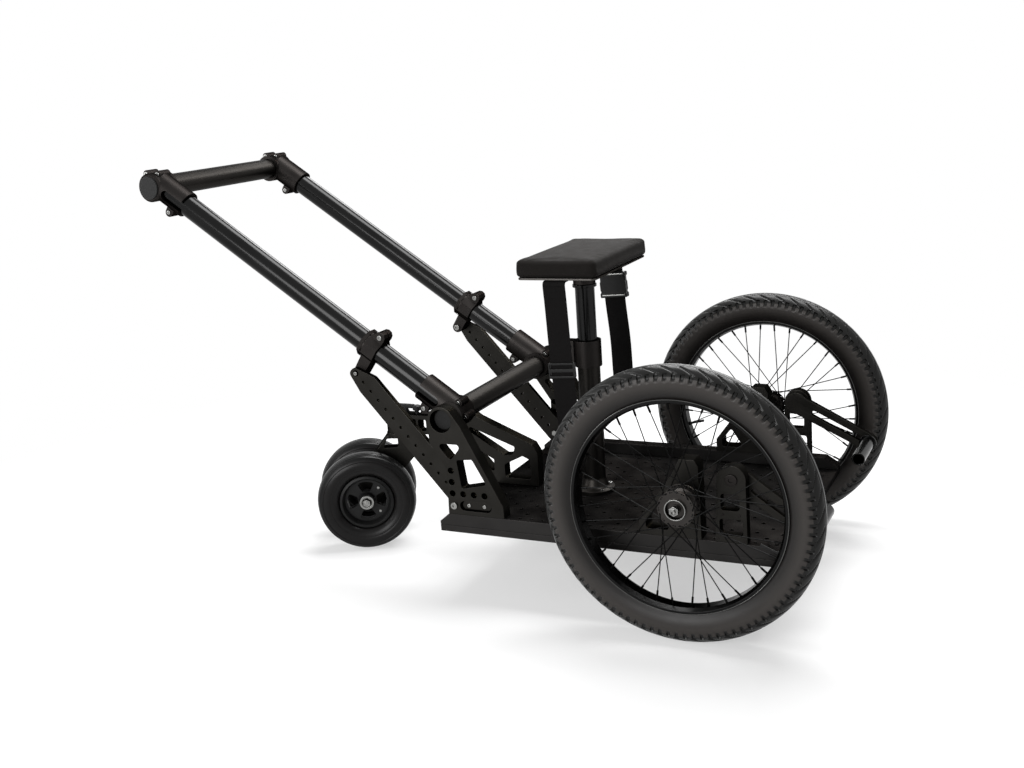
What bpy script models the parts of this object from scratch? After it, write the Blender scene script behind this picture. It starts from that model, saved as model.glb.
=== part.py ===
# Camera rickshaw: a low two-wheeled camera cart with a twin rear caster, a raking push
# handle held by a pair of drilled braces, a post seat with lap belt halves and two footrests.
# Metres, +Z up, +X forwards to the big wheels. Sizes are taken from the big wheels' axle in X,
# the centreline in Y and the ground in Z, and the last step moves the frame to mid-length.

import math

import bmesh
import bpy
from mathutils import Matrix, Vector

# Clearances
SEAT_GAP = 0.0003          # between faces that rest on each other
RUNNING_GAP = 0.0004       # round a shaft that turns or slides
SIDES = (("right", -1), ("left", 1))

# Big wheels
TYRE_RADIUS = 0.271
TYRE_HALF_WIDTH = 0.0275
RIM_LIP_RADIUS = 0.2095
RIM_HALF_WIDTH = 0.021
RIM_LIP = 0.0025
RIM_SEAT_DEPTH = 0.0065    # bead seat below the lip
RIM_DEPTH = 0.0105         # from lip to the face that the spokes meet
RIM_WALL_DEPTH = 0.006     # from lip to the foot of its upright wall
RIM_BED_SHARE = 0.55       # width of the spoke face as a share of the rim's
BEAD_STEP = 0.002          # slope between the lip and the bead seat
WHEEL_Y = 0.340            # wheel plane from the centreline
WHEEL_STEPS = 40
SPOKES_PER_FLANGE = 18
SPOKE_RADIUS = 0.0011
SPOKE_SIDES = 3
SPOKE_LEAN = math.radians(62)      # how far round the rim a crossed spoke runs
SPOKE_FLANGE_STEP = 0.0042         # crossed spokes leave the two faces of a flange
FLANGE_RADIUS = 0.036
FLANGE_THICKNESS = 0.0032
FLANGE_OFFSET = 0.0195     # flange middle from the wheel plane
HUB_BARREL_RADIUS = 0.019
HUB_END_RADIUS = 0.0205
HUB_HALF_LENGTH = 0.0270
HUB_STEPS = 16

# Axles
AXLE_RADIUS = 0.0075
AXLE_COLLAR_RADIUS = 0.012
AXLE_HEAD_RADIUS = 0.013
AXLE_HEAD_LENGTH = 0.008
AXLE_NUT_RADIUS = 0.011
AXLE_NUT_LENGTH = 0.009
AXLE_TIP_RADIUS = 0.005
AXLE_TIP_LENGTH = 0.004
AXLE_STEPS = 12

# Deck
DECK_REAR = -0.545
DECK_FRONT = 0.175
DECK_HALF_WIDTH = 0.285
DECK_BOTTOM = 0.144
DECK_THICKNESS = 0.014
RAIL_WIDTH = 0.030
RAIL_HEIGHT = 0.0257
RAIL_REAR_CHAMFER = (0.022, 0.018)
RAIL_FRONT_CHAMFER = (0.030, 0.019)
DECK_TOP = DECK_BOTTOM + DECK_THICKNESS
RAIL_BOTTOM = DECK_TOP + SEAT_GAP
RAIL_TOP = RAIL_BOTTOM + RAIL_HEIGHT
FOOT_Z = RAIL_TOP + SEAT_GAP       # where everything on the rails stands
FLOOR_Z = DECK_TOP + SEAT_GAP      # where everything on the floor stands

# Cross tube and push handle
CROSS_X = -0.5254
CROSS_Z = 0.3849
TUBE_RADIUS = 0.024
TUBE_WALL = 0.003
TUBE_STEPS = 16
CROSS_HALF_LENGTH = 0.268
HANDLE_RAKE = math.radians(34.45)  # handle tubes above the horizontal
HANDLE_LENGTH = 0.8662             # cross tube axis to grip bar axis
HANDLE_TUBE_Y = 0.2213
TUBE_RISE = 0.008                  # handle tubes' axes above the line between the cross bars
END_CAP_RADIUS = 0.0255
CROSS_CAP_RADIUS = 0.0216
END_CAP_THICKNESS = 0.003
END_PLUG_LENGTH = 0.012

# Corner fittings that join the cross tube and grip bar to the handle tubes
FITTING_RING_RADIUS = 0.032
FITTING_RING_HALF_WIDTH = 0.0305
FITTING_SLEEVE_RADIUS = 0.0305
FITTING_REACH = 0.088
FITTING_SPLIT_START = 0.044        # the sleeve is split outboard from here to its end
FITTING_SPLIT_HEIGHT = 0.022
FITTING_LUG = (0.060, -0.036)      # clamp screw of the sleeve, from its axis
FITTING_LUG_RADIUS = 0.010
FITTING_LUG_WIDTH = 0.030
RING_LUG = (-0.012, 0.0285)        # clamp screw of the ring, away from the sleeve
RING_LUG_RADIUS = 0.010
RING_LUG_WIDTH = 0.038
RING_CHAMFER = 0.004
FITTING_STEPS = 16
FITTING_TUBE_START = 0.037         # handle tube's end, from the ring axis
TUBE_END_GAP = 0.003               # between the tube's end and the foot of its bore

# Sliding clamps on the handle tubes and the braces that they carry
CLAMP_ALONG = 0.2300               # clamp middle from the cross tube, at rest
CLAMP_LENGTH = 0.043
CLAMP_RADIUS = 0.0305
CLAMP_LUG = (0.010, 0.036)         # clamp screw, from the tube axis
CLAMP_LUG_ROOT = 0.004
CLAMP_LUG_RADIUS = 0.0125
CLAMP_LUG_WIDTH = 0.034
CLAMP_TONGUE_WIDTH = 0.028
CLAMP_TONGUE_TIP_RADIUS = 0.0125
CLAMP_PIVOT = (0.0049, -0.0591)    # brace pivot from the clamp middle
CLAMP_TONGUE_ROOT = -0.012         # the tongue starts inside the collar
PIVOT_BOLT_RADIUS = 0.0035
PIVOT_BOLT_HEAD_RADIUS = 0.0085
PIVOT_BOLT_HEAD_LENGTH = 0.004
BRACE_THICKNESS = 0.012
BRACE_FRONT = 0.030                # hole row to the front edge
BRACE_REAR = 0.022
BRACE_TIP = 0.0125
BRACE_FOOT = 0.018
BRACE_TAPER = 0.035
BRACE_HOLE_RADIUS = 0.003
BRACE_HOLES = 14                   # hole pitches between its two bolts
OPEN_PIVOT_SLACK = 0.0027          # room for the pivot bolt in the brace's top hole

# Rear brackets, measured from the cross tube axis in X and from their feet in Z
BRACKET_THICKNESS = RAIL_WIDTH
BRACKET_HUB_RADIUS = 0.0305
BRACKET_FOOT = (0.0024, 0.1314)
BRACKET_BOLT = (0.0174, 0.019)
BRACKET_HOLE_RADIUS = 0.0068
BRACKET_HOLE_PITCH = 0.0248
BRACKET_HOLE_CORNER = (0.0150, 0.0455)
BRACE_BOLT_RADIUS = 0.004
BRACE_BOLT_HEAD_RADIUS = 0.0075
BRACE_BOLT_HEAD_LENGTH = 0.004

# Axle uprights, from the axle in X and from their feet in Z
UPRIGHT_THICKNESS = 0.036
UPRIGHT_REAR = -0.101
UPRIGHT_FRONT = 0.024
UPRIGHT_HEIGHT = 0.158

# Footrests
FOOTREST_X = 0.084
FOOTREST_Z = 0.309
FOOTREST_BRACKET_THICKNESS = 0.023
FOOTREST_BOSS_RADIUS = 0.028
FOOTREST_FOOT = (-0.033, 0.029)
FOOTREST_PIN_RADIUS = 0.008
FOOTREST_ARM_THICKNESS = 0.012
FOOTREST_ARM_LENGTH = 0.177
FOOTREST_DROPS = (math.radians(35), math.radians(27))   # right and left arms below the horizontal
FOOTREST_ARM_HALF_WIDTH = 0.0195
FOOTREST_HEAD_RADIUS = 0.025
FOOTREST_SLOT_RADIUS = 0.0055
FOOTREST_SLOT_START = 0.045
PEG_RADIUS = 0.014
PEG_WALL = 0.003
PEG_END_Y = 0.130
PEG_FLANGE_RADIUS = 0.0185
PEG_FLANGE_THICKNESS = 0.005
PEG_STUD_RADIUS = 0.005

# Caster arm, from its front edge in X and from the deck floor in Z
ARM_FRONT_X = -0.438
ARM_THICKNESS = 0.028
ARM_LENGTH = 0.328
ARM_TOP = 0.149
ARM_UNDERSIDE = 0.104

# Caster
CASTER_X = -0.808
CASTER_TURN = math.radians(29.7)   # how far the caster has swung at rest
CASTER_TRAIL = 0.085
CASTER_RADIUS = 0.116
CASTER_TYRE_HALF_WIDTH = 0.034
CASTER_WHEEL_Y = 0.0545
CASTER_RIM_RADIUS = 0.064
CASTER_RIM_HALF_WIDTH = 0.024
CASTER_BORE_RADIUS = 0.008
CASTER_AXLE_STEPS = 12
CASTER_AXLE_OVERHANG = 0.010
CASTER_NUT_RADIUS = 0.009
CASTER_NUT_LENGTH = 0.008
CASTER_STEPS = 24
CASTER_WINDOW_RADIUS = 0.0105
CASTER_WINDOW_PITCH = 0.040
CASTER_BEARING_RADIUS = 0.0175
FORK_THICKNESS = 0.028
FORK_PLATE_RADIUS = 0.026
FORK_PLATE_THICKNESS = 0.012
HEAD_RADIUS = 0.024
HEAD_NECK_HALF_WIDTH = 0.020
STEM_RADIUS = 0.0100
STEM_STEPS = 16
STEM_CAP_RADIUS = 0.017
STEM_CAP_HEIGHT = 0.006
LOCK_X = -0.7795                   # lock screw in the neck of the caster head
LOCK_STEM_RADIUS = 0.004
LOCK_STEM_DEPTH = 0.015
LOCK_COLLAR_RADIUS = 0.008
LOCK_COLLAR_HEIGHT = 0.008
LOCK_NECK_RADIUS = 0.006
LOCK_HANDLE_LENGTH = 0.048
LOCK_HANDLE_HEIGHT = 0.010
LOCK_HANDLE_BOTTOM = 0.013
LOCK_STEPS = 12

# Seat
POST_X = -0.307
POST_RADIUS = 0.021
POST_WALL = 0.003
POST_BOTTOM = 0.290
POST_TOP = 0.623
POST_FLANGE_RADIUS = 0.026
POST_FLANGE_HEIGHT = 0.006
POST_STEPS = 16
SLEEVE_RADIUS = 0.0245
SLEEVE_TOP = 0.468
SLEEVE_FOOT_RADIUS = 0.044
SLEEVE_FOOT_HEIGHT = 0.008
COLLAR_RADIUS = 0.0295
COLLAR_BOTTOM = 0.443
COLLAR_TOP = 0.501
COLLAR_LUG = 0.018                 # how far the split lug stands out of the collar
COLLAR_LUG_HALF_WIDTH = 0.015
COLLAR_SPLIT = 0.003
SEAT_LENGTH = 0.183                # along X
SEAT_WIDTH = 0.316
SEAT_TOP = 0.703
PAD_THICKNESS = 0.042
PAD_CROWN = 0.006                  # rise of the pad's middle over its edges
PAD_DRAW_IN = 0.003                # how far its sides come in at the foot
PAD_SHOULDER = 0.011               # from the sides to the first row of the cage
SEAT_PLATE_THICKNESS = 0.004
SEAT_PLATE_INSET = 0.006
SEAT_HUB_RADIUS = 0.024
SEAT_SPIGOT_RADIUS = 0.012
SEAT_SPIGOT_LENGTH = 0.018

# Lap belt halves
WEBBING_WIDTH = 0.049
WEBBING_THICKNESS = 0.0024
RIGHT_BELT_LENGTH = 0.375
LEFT_BELT_LENGTH = 0.290
BELT_LEAN = 0.06                   # forward lean of the hanging belt
BELT_TURN_RADIUS = 0.008
BELT_SWAY = 0.006                  # how far the belt bows outwards on its way down
BELT_STEPS = 12
BUCKLE_LENGTH = 0.058
BUCKLE_WIDTH = 0.064
BUCKLE_DEPTH = 0.016
SLIDER_LENGTH = 0.032
SLIDER_WIDTH = 0.058
SLIDER_DEPTH = 0.009
BUCKLE_SLACK = 0.0005              # round the webbing in a buckle
BUCKLE_DROP = 0.035                # top of the buckle below the seat plate
SLIDER_DROP = 0.165

# Values worked out from the sizes above
AXLE_Z = TYRE_RADIUS
BRACKET_OUTER_Y = DECK_HALF_WIDTH
BRACKET_INNER_Y = BRACKET_OUTER_Y - BRACKET_THICKNESS
BRACE_OUTER_Y = BRACKET_INNER_Y - SEAT_GAP
BRACE_INNER_Y = BRACE_OUTER_Y - BRACE_THICKNESS
TONGUE_OUTER_Y = BRACE_INNER_Y - SEAT_GAP
TONGUE_THICKNESS = 2 * (TONGUE_OUTER_Y - HANDLE_TUBE_Y) - 0.010
SEAT_BOTTOM = SEAT_TOP - PAD_THICKNESS
SEAT_PLATE_TOP = SEAT_BOTTOM - SEAT_GAP
SEAT_PLATE_BOTTOM = SEAT_PLATE_TOP - SEAT_PLATE_THICKNESS
HANDLE_BACK = CROSS_X - HANDLE_LENGTH * math.cos(HANDLE_RAKE) - FITTING_RING_RADIUS
FRAME_X = -(HANDLE_BACK + TYRE_RADIUS) / 2
GRIP_HALF_LENGTH = HANDLE_TUBE_Y + FITTING_RING_HALF_WIDTH
HEAD_BOTTOM = FLOOR_Z + ARM_UNDERSIDE      # the caster head is as deep as the arm's rear end
HEAD_TOP = FLOOR_Z + ARM_TOP

# Colour, roughness and metallic value of each finish
FINISHES = {
    "anodised plate": ((0.018, 0.018, 0.019), 0.42, 0.9),
    "gloss black tube": ((0.012, 0.012, 0.013), 0.16, 0.9),
    "matte black tube": ((0.020, 0.020, 0.021), 0.48, 0.8),
    "cast fitting": ((0.022, 0.022, 0.023), 0.50, 0.8),
    "black nylon": ((0.020, 0.020, 0.020), 0.50, 0.0),
    "tyre rubber": ((0.028, 0.028, 0.029), 0.75, 0.0),
    "black rim": ((0.015, 0.015, 0.016), 0.30, 0.9),
    "zinc steel": ((0.62, 0.62, 0.63), 0.28, 1.0),
    "seat cover": ((0.016, 0.016, 0.017), 0.80, 0.0),
    "seat plate": ((0.55, 0.55, 0.56), 0.35, 1.0),
    "webbing": ((0.022, 0.022, 0.023), 0.85, 0.0),
}

UPRIGHT = (math.radians(90), 0, 0)     # turns an outline drawn in XY up into XZ


def clear_scene():
    for thing in list(bpy.data.objects):
        bpy.data.objects.remove(thing, do_unlink=True)


def make_collection(name):
    collection = bpy.data.collections.new(name)
    bpy.context.scene.collection.children.link(collection)
    return collection


def make_material(name, finish):
    colour, roughness, metallic = FINISHES[finish]
    material = bpy.data.materials.new(f"{name} {finish}")
    material.use_nodes = True
    shader = material.node_tree.nodes["Principled BSDF"]
    shader.inputs["Base Color"].default_value = (*colour, 1)
    shader.inputs["Roughness"].default_value = roughness
    shader.inputs["Metallic"].default_value = metallic
    return material


clear_scene()
PARTS = make_collection("camera rickshaw")
CUTTERS = make_collection("cutters")


# Points of outlines


def circle(centre, radius, sides, start=0.0):
    x, y = centre
    return [
        (x + radius * math.cos(start + step * math.tau / sides),
         y + radius * math.sin(start + step * math.tau / sides))
        for step in range(sides)
    ]


def round_bore(radius, gap, sides):
    """The corner radius of a bore with flats whose flats clear a round shaft by the gap."""
    return (radius + gap) / math.cos(math.pi / sides)


def arc(centre, radius, start, end, steps):
    x, y = centre
    angles = [math.radians(start + (end - start) * step / steps) for step in range(steps + 1)]
    return [(x + radius * math.cos(a), y + radius * math.sin(a)) for a in angles]


def rounded(corners, radius, steps=3):
    radii = radius if isinstance(radius, (list, tuple)) else [radius] * len(corners)
    points = []
    for index, corner in enumerate(corners):
        here = Vector(corner)
        before = Vector(corners[index - 1]) - here
        after = Vector(corners[(index + 1) % len(corners)]) - here
        half_angle = before.angle(after) / 2
        reach = min(radii[index] / math.tan(half_angle), 0.49 * before.length, 0.49 * after.length)
        fillet = reach * math.tan(half_angle)
        if fillet < 1e-5:
            points.append(tuple(here))
            continue
        bisector = (before.normalized() + after.normalized()).normalized()
        centre = here + bisector * fillet / math.sin(half_angle)
        start = here + before.normalized() * reach - centre
        sweep = (here + after.normalized() * reach - centre).angle_signed(start)
        for step in range(steps + 1):
            spoke = start.copy()
            spoke.rotate(Matrix.Rotation(sweep * step / steps, 2))
            points.append(tuple(centre + spoke))
    return points


def box_outline(left, right, bottom, top):
    return [(left, bottom), (right, bottom), (right, top), (left, top)]


def slot(start, end, radius, steps=4):
    across = Vector(end) - Vector(start)
    turn = math.degrees(math.atan2(across.y, across.x))
    return arc(start, radius, turn + 90, turn + 270, steps) + arc(end, radius, turn - 90, turn + 90, steps)


# Meshes


def tidy_mesh(mesh):
    work = bmesh.new()
    work.from_mesh(mesh)
    bmesh.ops.remove_doubles(work, verts=work.verts, dist=1e-6)
    bmesh.ops.recalc_face_normals(work, faces=work.faces)
    work.to_mesh(mesh)
    work.free()
    return mesh


def evaluated_mesh(guide):
    bpy.context.scene.collection.objects.link(guide)
    depsgraph = bpy.context.evaluated_depsgraph_get()
    mesh = bpy.data.meshes.new_from_object(guide.evaluated_get(depsgraph))
    bpy.data.objects.remove(guide, do_unlink=True)
    return tidy_mesh(mesh)


def plate(loops, thickness):
    """A flat plate in XY, centred on Z, with its first loop outside and the rest cut through."""
    outline = bpy.data.curves.new("outline", "CURVE")
    outline.dimensions = "2D"
    outline.fill_mode = "BOTH"
    outline.extrude = thickness / 2
    for loop in loops:
        spline = outline.splines.new("POLY")
        spline.points.add(len(loop) - 1)
        for point, (x, y) in zip(spline.points, loop):
            point.co = (x, y, 0, 1)
        spline.use_cyclic_u = True
    return evaluated_mesh(bpy.data.objects.new("outline", outline))


def turned(profile, steps, closed=False):
    """A profile of (radius, height) turned about Z, from the top down its outer side."""
    mesh = bpy.data.meshes.new("profile")
    edges = [(index, index + 1) for index in range(len(profile) - 1)]
    if closed:
        edges.append((len(profile) - 1, 0))
    mesh.from_pydata([(radius, 0, height) for radius, height in profile], edges, [])
    guide = bpy.data.objects.new("profile", mesh)
    screw = guide.modifiers.new("turn", "SCREW")
    screw.steps = steps
    screw.render_steps = steps
    screw.use_merge_vertices = True
    screw.merge_threshold = 0.00001
    return evaluated_mesh(guide)


def tube_mesh(radius, wall, half_length, steps):
    """An open tube along Z."""
    inner = radius - wall
    profile = [(radius, half_length), (radius, -half_length), (inner, -half_length), (inner, half_length)]
    return turned(profile, steps, closed=True)


def rod_mesh(radius, bottom, top, steps):
    return turned([(0, top), (radius, top), (radius, bottom), (0, bottom)], steps)


def box_mesh(size, centre=(0, 0, 0)):
    mesh = bpy.data.meshes.new("box")
    work = bmesh.new()
    bmesh.ops.create_cube(work, size=1)
    bmesh.ops.scale(work, vec=size, verts=work.verts)
    bmesh.ops.translate(work, vec=centre, verts=work.verts)
    work.to_mesh(mesh)
    work.free()
    return mesh


def moved(mesh, matrix):
    mesh.transform(matrix)
    if matrix.determinant() < 0:
        mesh.flip_normals()
    return mesh


# Objects


def add_pivot(name, parent, location, rotation=(0, 0, 0)):
    pivot = bpy.data.objects.new(name, None)
    pivot.empty_display_size = 0.05
    PARTS.objects.link(pivot)
    pivot.parent = parent
    pivot.location = location
    pivot.rotation_euler = rotation
    return pivot


def add_part(name, mesh, finish, parent, location=(0, 0, 0), rotation=(0, 0, 0), smooth=30):
    mesh = mesh.copy()
    mesh.name = name
    mesh.shade_smooth()
    mesh.set_sharp_from_angle(angle=math.radians(smooth))
    mesh.materials.append(make_material(name, finish))
    part = bpy.data.objects.new(name, mesh)
    PARTS.objects.link(part)
    part.parent = parent
    part.location = location
    part.rotation_euler = rotation
    return part


def combine(part, mesh, operation, location=(0, 0, 0), rotation=(0, 0, 0)):
    """Cuts a shape from a part or joins it on, placed under the part's own parent."""
    tool = bpy.data.objects.new(f"{part.name} {operation.lower()}", mesh)
    CUTTERS.objects.link(tool)
    tool.parent = part.parent
    tool.location = location
    tool.rotation_euler = rotation
    tool.hide_render = True
    tool.display_type = "WIRE"
    modifier = part.modifiers.new(tool.name, "BOOLEAN")
    modifier.operation = operation
    modifier.object = tool


def facing(side):
    """Turns a shape's +Z outboard on the given side."""
    return (math.radians(90 if side < 0 else -90), 0, 0)


# Big wheels


def rim_mesh():
    lip = RIM_LIP_RADIUS
    seat = lip - RIM_SEAT_DEPTH
    bed = lip - RIM_DEPTH
    wall = lip - RIM_WALL_DEPTH
    half = RIM_HALF_WIDTH
    half_bed = half * RIM_BED_SHARE
    inside = half - RIM_LIP
    outer = [(lip, half), (wall, half), (bed, half_bed), (bed, -half_bed), (wall, -half), (lip, -half)]
    inner = [(lip, -inside), (seat, -inside + BEAD_STEP), (seat, inside - BEAD_STEP), (lip, inside)]
    return turned((outer + inner)[::-1], WHEEL_STEPS, closed=True)


def tyre_mesh():
    seat = RIM_LIP_RADIUS - RIM_SEAT_DEPTH + SEAT_GAP
    lip = RIM_LIP_RADIUS + SEAT_GAP
    bead = RIM_HALF_WIDTH - RIM_LIP - BEAD_STEP - SEAT_GAP
    height = TYRE_RADIUS - lip
    half = TYRE_HALF_WIDTH
    side = [(TYRE_RADIUS, half * 0.20), (TYRE_RADIUS - height * 0.16, half * 0.72),
            (TYRE_RADIUS - height * 0.42, half), (TYRE_RADIUS - height * 0.75, half * 0.92),
            (lip, bead + 0.0015), (seat, bead)]
    profile = side[::-1] + [(radius, -y) for radius, y in side]
    return turned(profile, WHEEL_STEPS, closed=True)


def hub_mesh():
    bore = round_bore(AXLE_RADIUS, RUNNING_GAP, HUB_STEPS)
    flange_in = FLANGE_OFFSET - FLANGE_THICKNESS / 2
    flange_out = FLANGE_OFFSET + FLANGE_THICKNESS / 2
    side = [(bore, HUB_HALF_LENGTH), (HUB_END_RADIUS, HUB_HALF_LENGTH), (HUB_END_RADIUS, flange_out),
            (FLANGE_RADIUS, flange_out), (FLANGE_RADIUS, flange_in), (HUB_BARREL_RADIUS, flange_in)]
    profile = side + [(radius, -y) for radius, y in side[::-1]]
    return turned(profile, HUB_STEPS, closed=True)


def spoke_mesh():
    """All spokes of one wheel about Z: each flange has a leaning pair set, crossing without touching."""
    inner_radius = FLANGE_RADIUS - 0.003
    rim_flats = (RIM_LIP_RADIUS - RIM_DEPTH) * math.cos(math.pi / WHEEL_STEPS)
    outer_radius = rim_flats - SEAT_GAP - SPOKE_RADIUS / 2
    work = bmesh.new()
    pitch = math.tau / SPOKES_PER_FLANGE
    for flange in (-1, 1):
        for index in range(SPOKES_PER_FLANGE):
            lean = SPOKE_LEAN if index % 2 else -SPOKE_LEAN
            angle = (index + (0.25 if flange > 0 else -0.25)) * pitch
            face = SPOKE_FLANGE_STEP / 2 if index % 2 else -SPOKE_FLANGE_STEP / 2
            root_angle = angle - lean
            root = Vector((inner_radius * math.cos(root_angle), inner_radius * math.sin(root_angle),
                           flange * (FLANGE_OFFSET + face)))
            nipple = Vector((outer_radius * math.cos(angle), outer_radius * math.sin(angle),
                             flange * 0.004 + face))
            along = nipple - root
            made = bmesh.ops.create_cone(
                work, cap_ends=True, segments=SPOKE_SIDES, radius1=SPOKE_RADIUS,
                radius2=SPOKE_RADIUS, depth=along.length)
            turn = along.to_track_quat("Z", "Y").to_matrix().to_4x4()
            bmesh.ops.transform(work, matrix=Matrix.Translation((root + nipple) / 2) @ turn,
                                verts=made["verts"])
    mesh = bpy.data.meshes.new("spokes")
    work.to_mesh(mesh)
    work.free()
    return mesh


def axle_mesh():
    """An axle about Z with height 0 at the wheel plane and its nut end up."""
    nut_bottom = HUB_HALF_LENGTH + SEAT_GAP
    nut_top = nut_bottom + AXLE_NUT_LENGTH
    collar_top = -HUB_HALF_LENGTH - SEAT_GAP
    collar_bottom = DECK_HALF_WIDTH - WHEEL_Y + SEAT_GAP
    head_top = collar_bottom - UPRIGHT_THICKNESS - 2 * SEAT_GAP
    return turned([
        (0, nut_top + AXLE_TIP_LENGTH), (AXLE_TIP_RADIUS, nut_top + AXLE_TIP_LENGTH),
        (AXLE_TIP_RADIUS, nut_top), (AXLE_NUT_RADIUS, nut_top), (AXLE_NUT_RADIUS, nut_bottom),
        (AXLE_RADIUS, nut_bottom), (AXLE_RADIUS, collar_top), (AXLE_COLLAR_RADIUS, collar_top),
        (AXLE_COLLAR_RADIUS, collar_bottom), (AXLE_RADIUS, collar_bottom), (AXLE_RADIUS, head_top),
        (AXLE_HEAD_RADIUS, head_top), (AXLE_HEAD_RADIUS, head_top - AXLE_HEAD_LENGTH),
        (0, head_top - AXLE_HEAD_LENGTH),
    ], AXLE_STEPS)


def add_big_wheels(base):
    rim = rim_mesh()
    tyre = tyre_mesh()
    hub = hub_mesh()
    axle = axle_mesh()
    for side_name, side in SIDES:
        pivot = add_pivot(f"{side_name}_wheel_axis", base, (0, side * WHEEL_Y, AXLE_Z), facing(side))
        add_part(f"{side_name}_rim", rim, "black rim", pivot)
        add_part(f"{side_name}_tyre", tyre, "tyre rubber", pivot)
        spoked = add_part(f"{side_name}_hub_and_spokes", hub, "black rim", pivot)
        combine(spoked, spoke_mesh(), "UNION")
        add_part(f"{side_name}_axle", axle, "zinc steel", base, (0, side * WHEEL_Y, AXLE_Z), facing(side))


# Deck


def add_deck(base):
    length = DECK_FRONT - DECK_REAR
    size = (length, 2 * DECK_HALF_WIDTH, DECK_THICKNESS)
    middle = ((DECK_FRONT + DECK_REAR) / 2, 0, (DECK_BOTTOM + DECK_TOP) / 2)
    add_part("deck_plate", box_mesh(size), "anodised plate", base, middle)
    rear_run, rear_drop = RAIL_REAR_CHAMFER
    front_run, front_drop = RAIL_FRONT_CHAMFER
    outline = [
        (DECK_REAR, RAIL_BOTTOM), (DECK_FRONT, RAIL_BOTTOM), (DECK_FRONT, RAIL_TOP - front_drop),
        (DECK_FRONT - front_run, RAIL_TOP), (DECK_REAR + rear_run, RAIL_TOP),
        (DECK_REAR, RAIL_TOP - rear_drop),
    ]
    rail = plate([outline], RAIL_WIDTH)
    for side_name, side in SIDES:
        place = (0, side * (DECK_HALF_WIDTH - RAIL_WIDTH / 2), 0)
        add_part(f"{side_name}_side_rail", rail, "anodised plate", base, place, UPRIGHT)


# Rear brackets, which hold the cross tube and the foot of each brace


def rear_bracket_mesh():
    hub = (0, CROSS_Z - FOOT_Z)
    foot_rear, foot_front = BRACKET_FOOT
    outline = [(foot_rear, 0), (foot_front, 0), (foot_front - 0.001, 0.026), (0.044, 0.192)]
    outline += arc(hub, BRACKET_HUB_RADIUS, 35, 180, 9)
    outline += [(-BRACKET_HUB_RADIUS, 0.152), (0.0054, 0.099)]
    corner_x, corner_z = BRACKET_HOLE_CORNER
    hole_row = [(corner_x + step * BRACKET_HOLE_PITCH, corner_z) for step in range(4)]
    hole_row += [(corner_x, corner_z + step * BRACKET_HOLE_PITCH) for step in (1, 2)]
    loops = [
        outline,
        circle(hub, round_bore(TUBE_RADIUS, RUNNING_GAP, TUBE_STEPS), TUBE_STEPS),
        rounded([(-0.014, 0.1525), (0.045, 0.1525), (0.016, 0.1165)], 0.0065),
        rounded([(0.030, 0.119), (0.066, 0.1225), (0.0955, 0.0700), (0.038, 0.0575)], 0.004),
        slot((0.041, 0.020), (0.093, 0.020), 0.0105),
        circle(BRACKET_BOLT, BRACE_BOLT_RADIUS + SEAT_GAP, 10),
    ]
    loops += [circle(centre, BRACKET_HOLE_RADIUS, 8) for centre in hole_row]
    return plate(loops, BRACKET_THICKNESS)


def brace_bolt_mesh():
    """A bolt about Z, its head up against the bracket's outer face at height 0."""
    tip = -BRACKET_THICKNESS - 2 * SEAT_GAP - BRACE_THICKNESS
    return turned([
        (0, BRACE_BOLT_HEAD_LENGTH), (BRACE_BOLT_HEAD_RADIUS, BRACE_BOLT_HEAD_LENGTH),
        (BRACE_BOLT_HEAD_RADIUS, SEAT_GAP), (BRACE_BOLT_RADIUS, SEAT_GAP),
        (BRACE_BOLT_RADIUS, tip - SEAT_GAP), (BRACE_BOLT_HEAD_RADIUS, tip - SEAT_GAP),
        (BRACE_BOLT_HEAD_RADIUS, tip - BRACE_BOLT_HEAD_LENGTH), (0, tip - BRACE_BOLT_HEAD_LENGTH),
    ], 10)


def add_rear_brackets(base):
    bracket = rear_bracket_mesh()
    bolt = brace_bolt_mesh()
    bolt_x, bolt_z = BRACKET_BOLT
    for side_name, side in SIDES:
        middle_y = side * (BRACKET_OUTER_Y - BRACKET_THICKNESS / 2)
        add_part(f"{side_name}_rear_bracket", bracket, "anodised plate", base,
                 (CROSS_X, middle_y, FOOT_Z), UPRIGHT)
        add_part(f"{side_name}_brace_bolt", bolt, "zinc steel", base,
                 (CROSS_X + bolt_x, side * BRACKET_OUTER_Y, FOOT_Z + bolt_z), facing(side))


# Push handle. Its frame has -X up along the tubes from the cross tube, and +Z above them.


def end_cap_mesh(radius, bore_radius):
    """A cap about Z whose plug reaches down into a tube that ends at height 0."""
    return turned([
        (0, END_CAP_THICKNESS), (radius, END_CAP_THICKNESS), (radius, SEAT_GAP),
        (bore_radius - SEAT_GAP, SEAT_GAP), (bore_radius - SEAT_GAP, -END_PLUG_LENGTH),
        (0, -END_PLUG_LENGTH),
    ], TUBE_STEPS)


def lug_outline(centre, radius, root):
    """A round lug at centre, with straight sides running back to the point root."""
    out = Vector(centre) - Vector(root)
    turn = math.degrees(math.atan2(out.y, out.x))
    side = Vector((-out.y, out.x)).normalized() * radius
    back = [tuple(Vector(root) - side), tuple(Vector(root) + side)]
    return arc(centre, radius, turn - 90, turn + 90, 5) + back[::-1]


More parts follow.
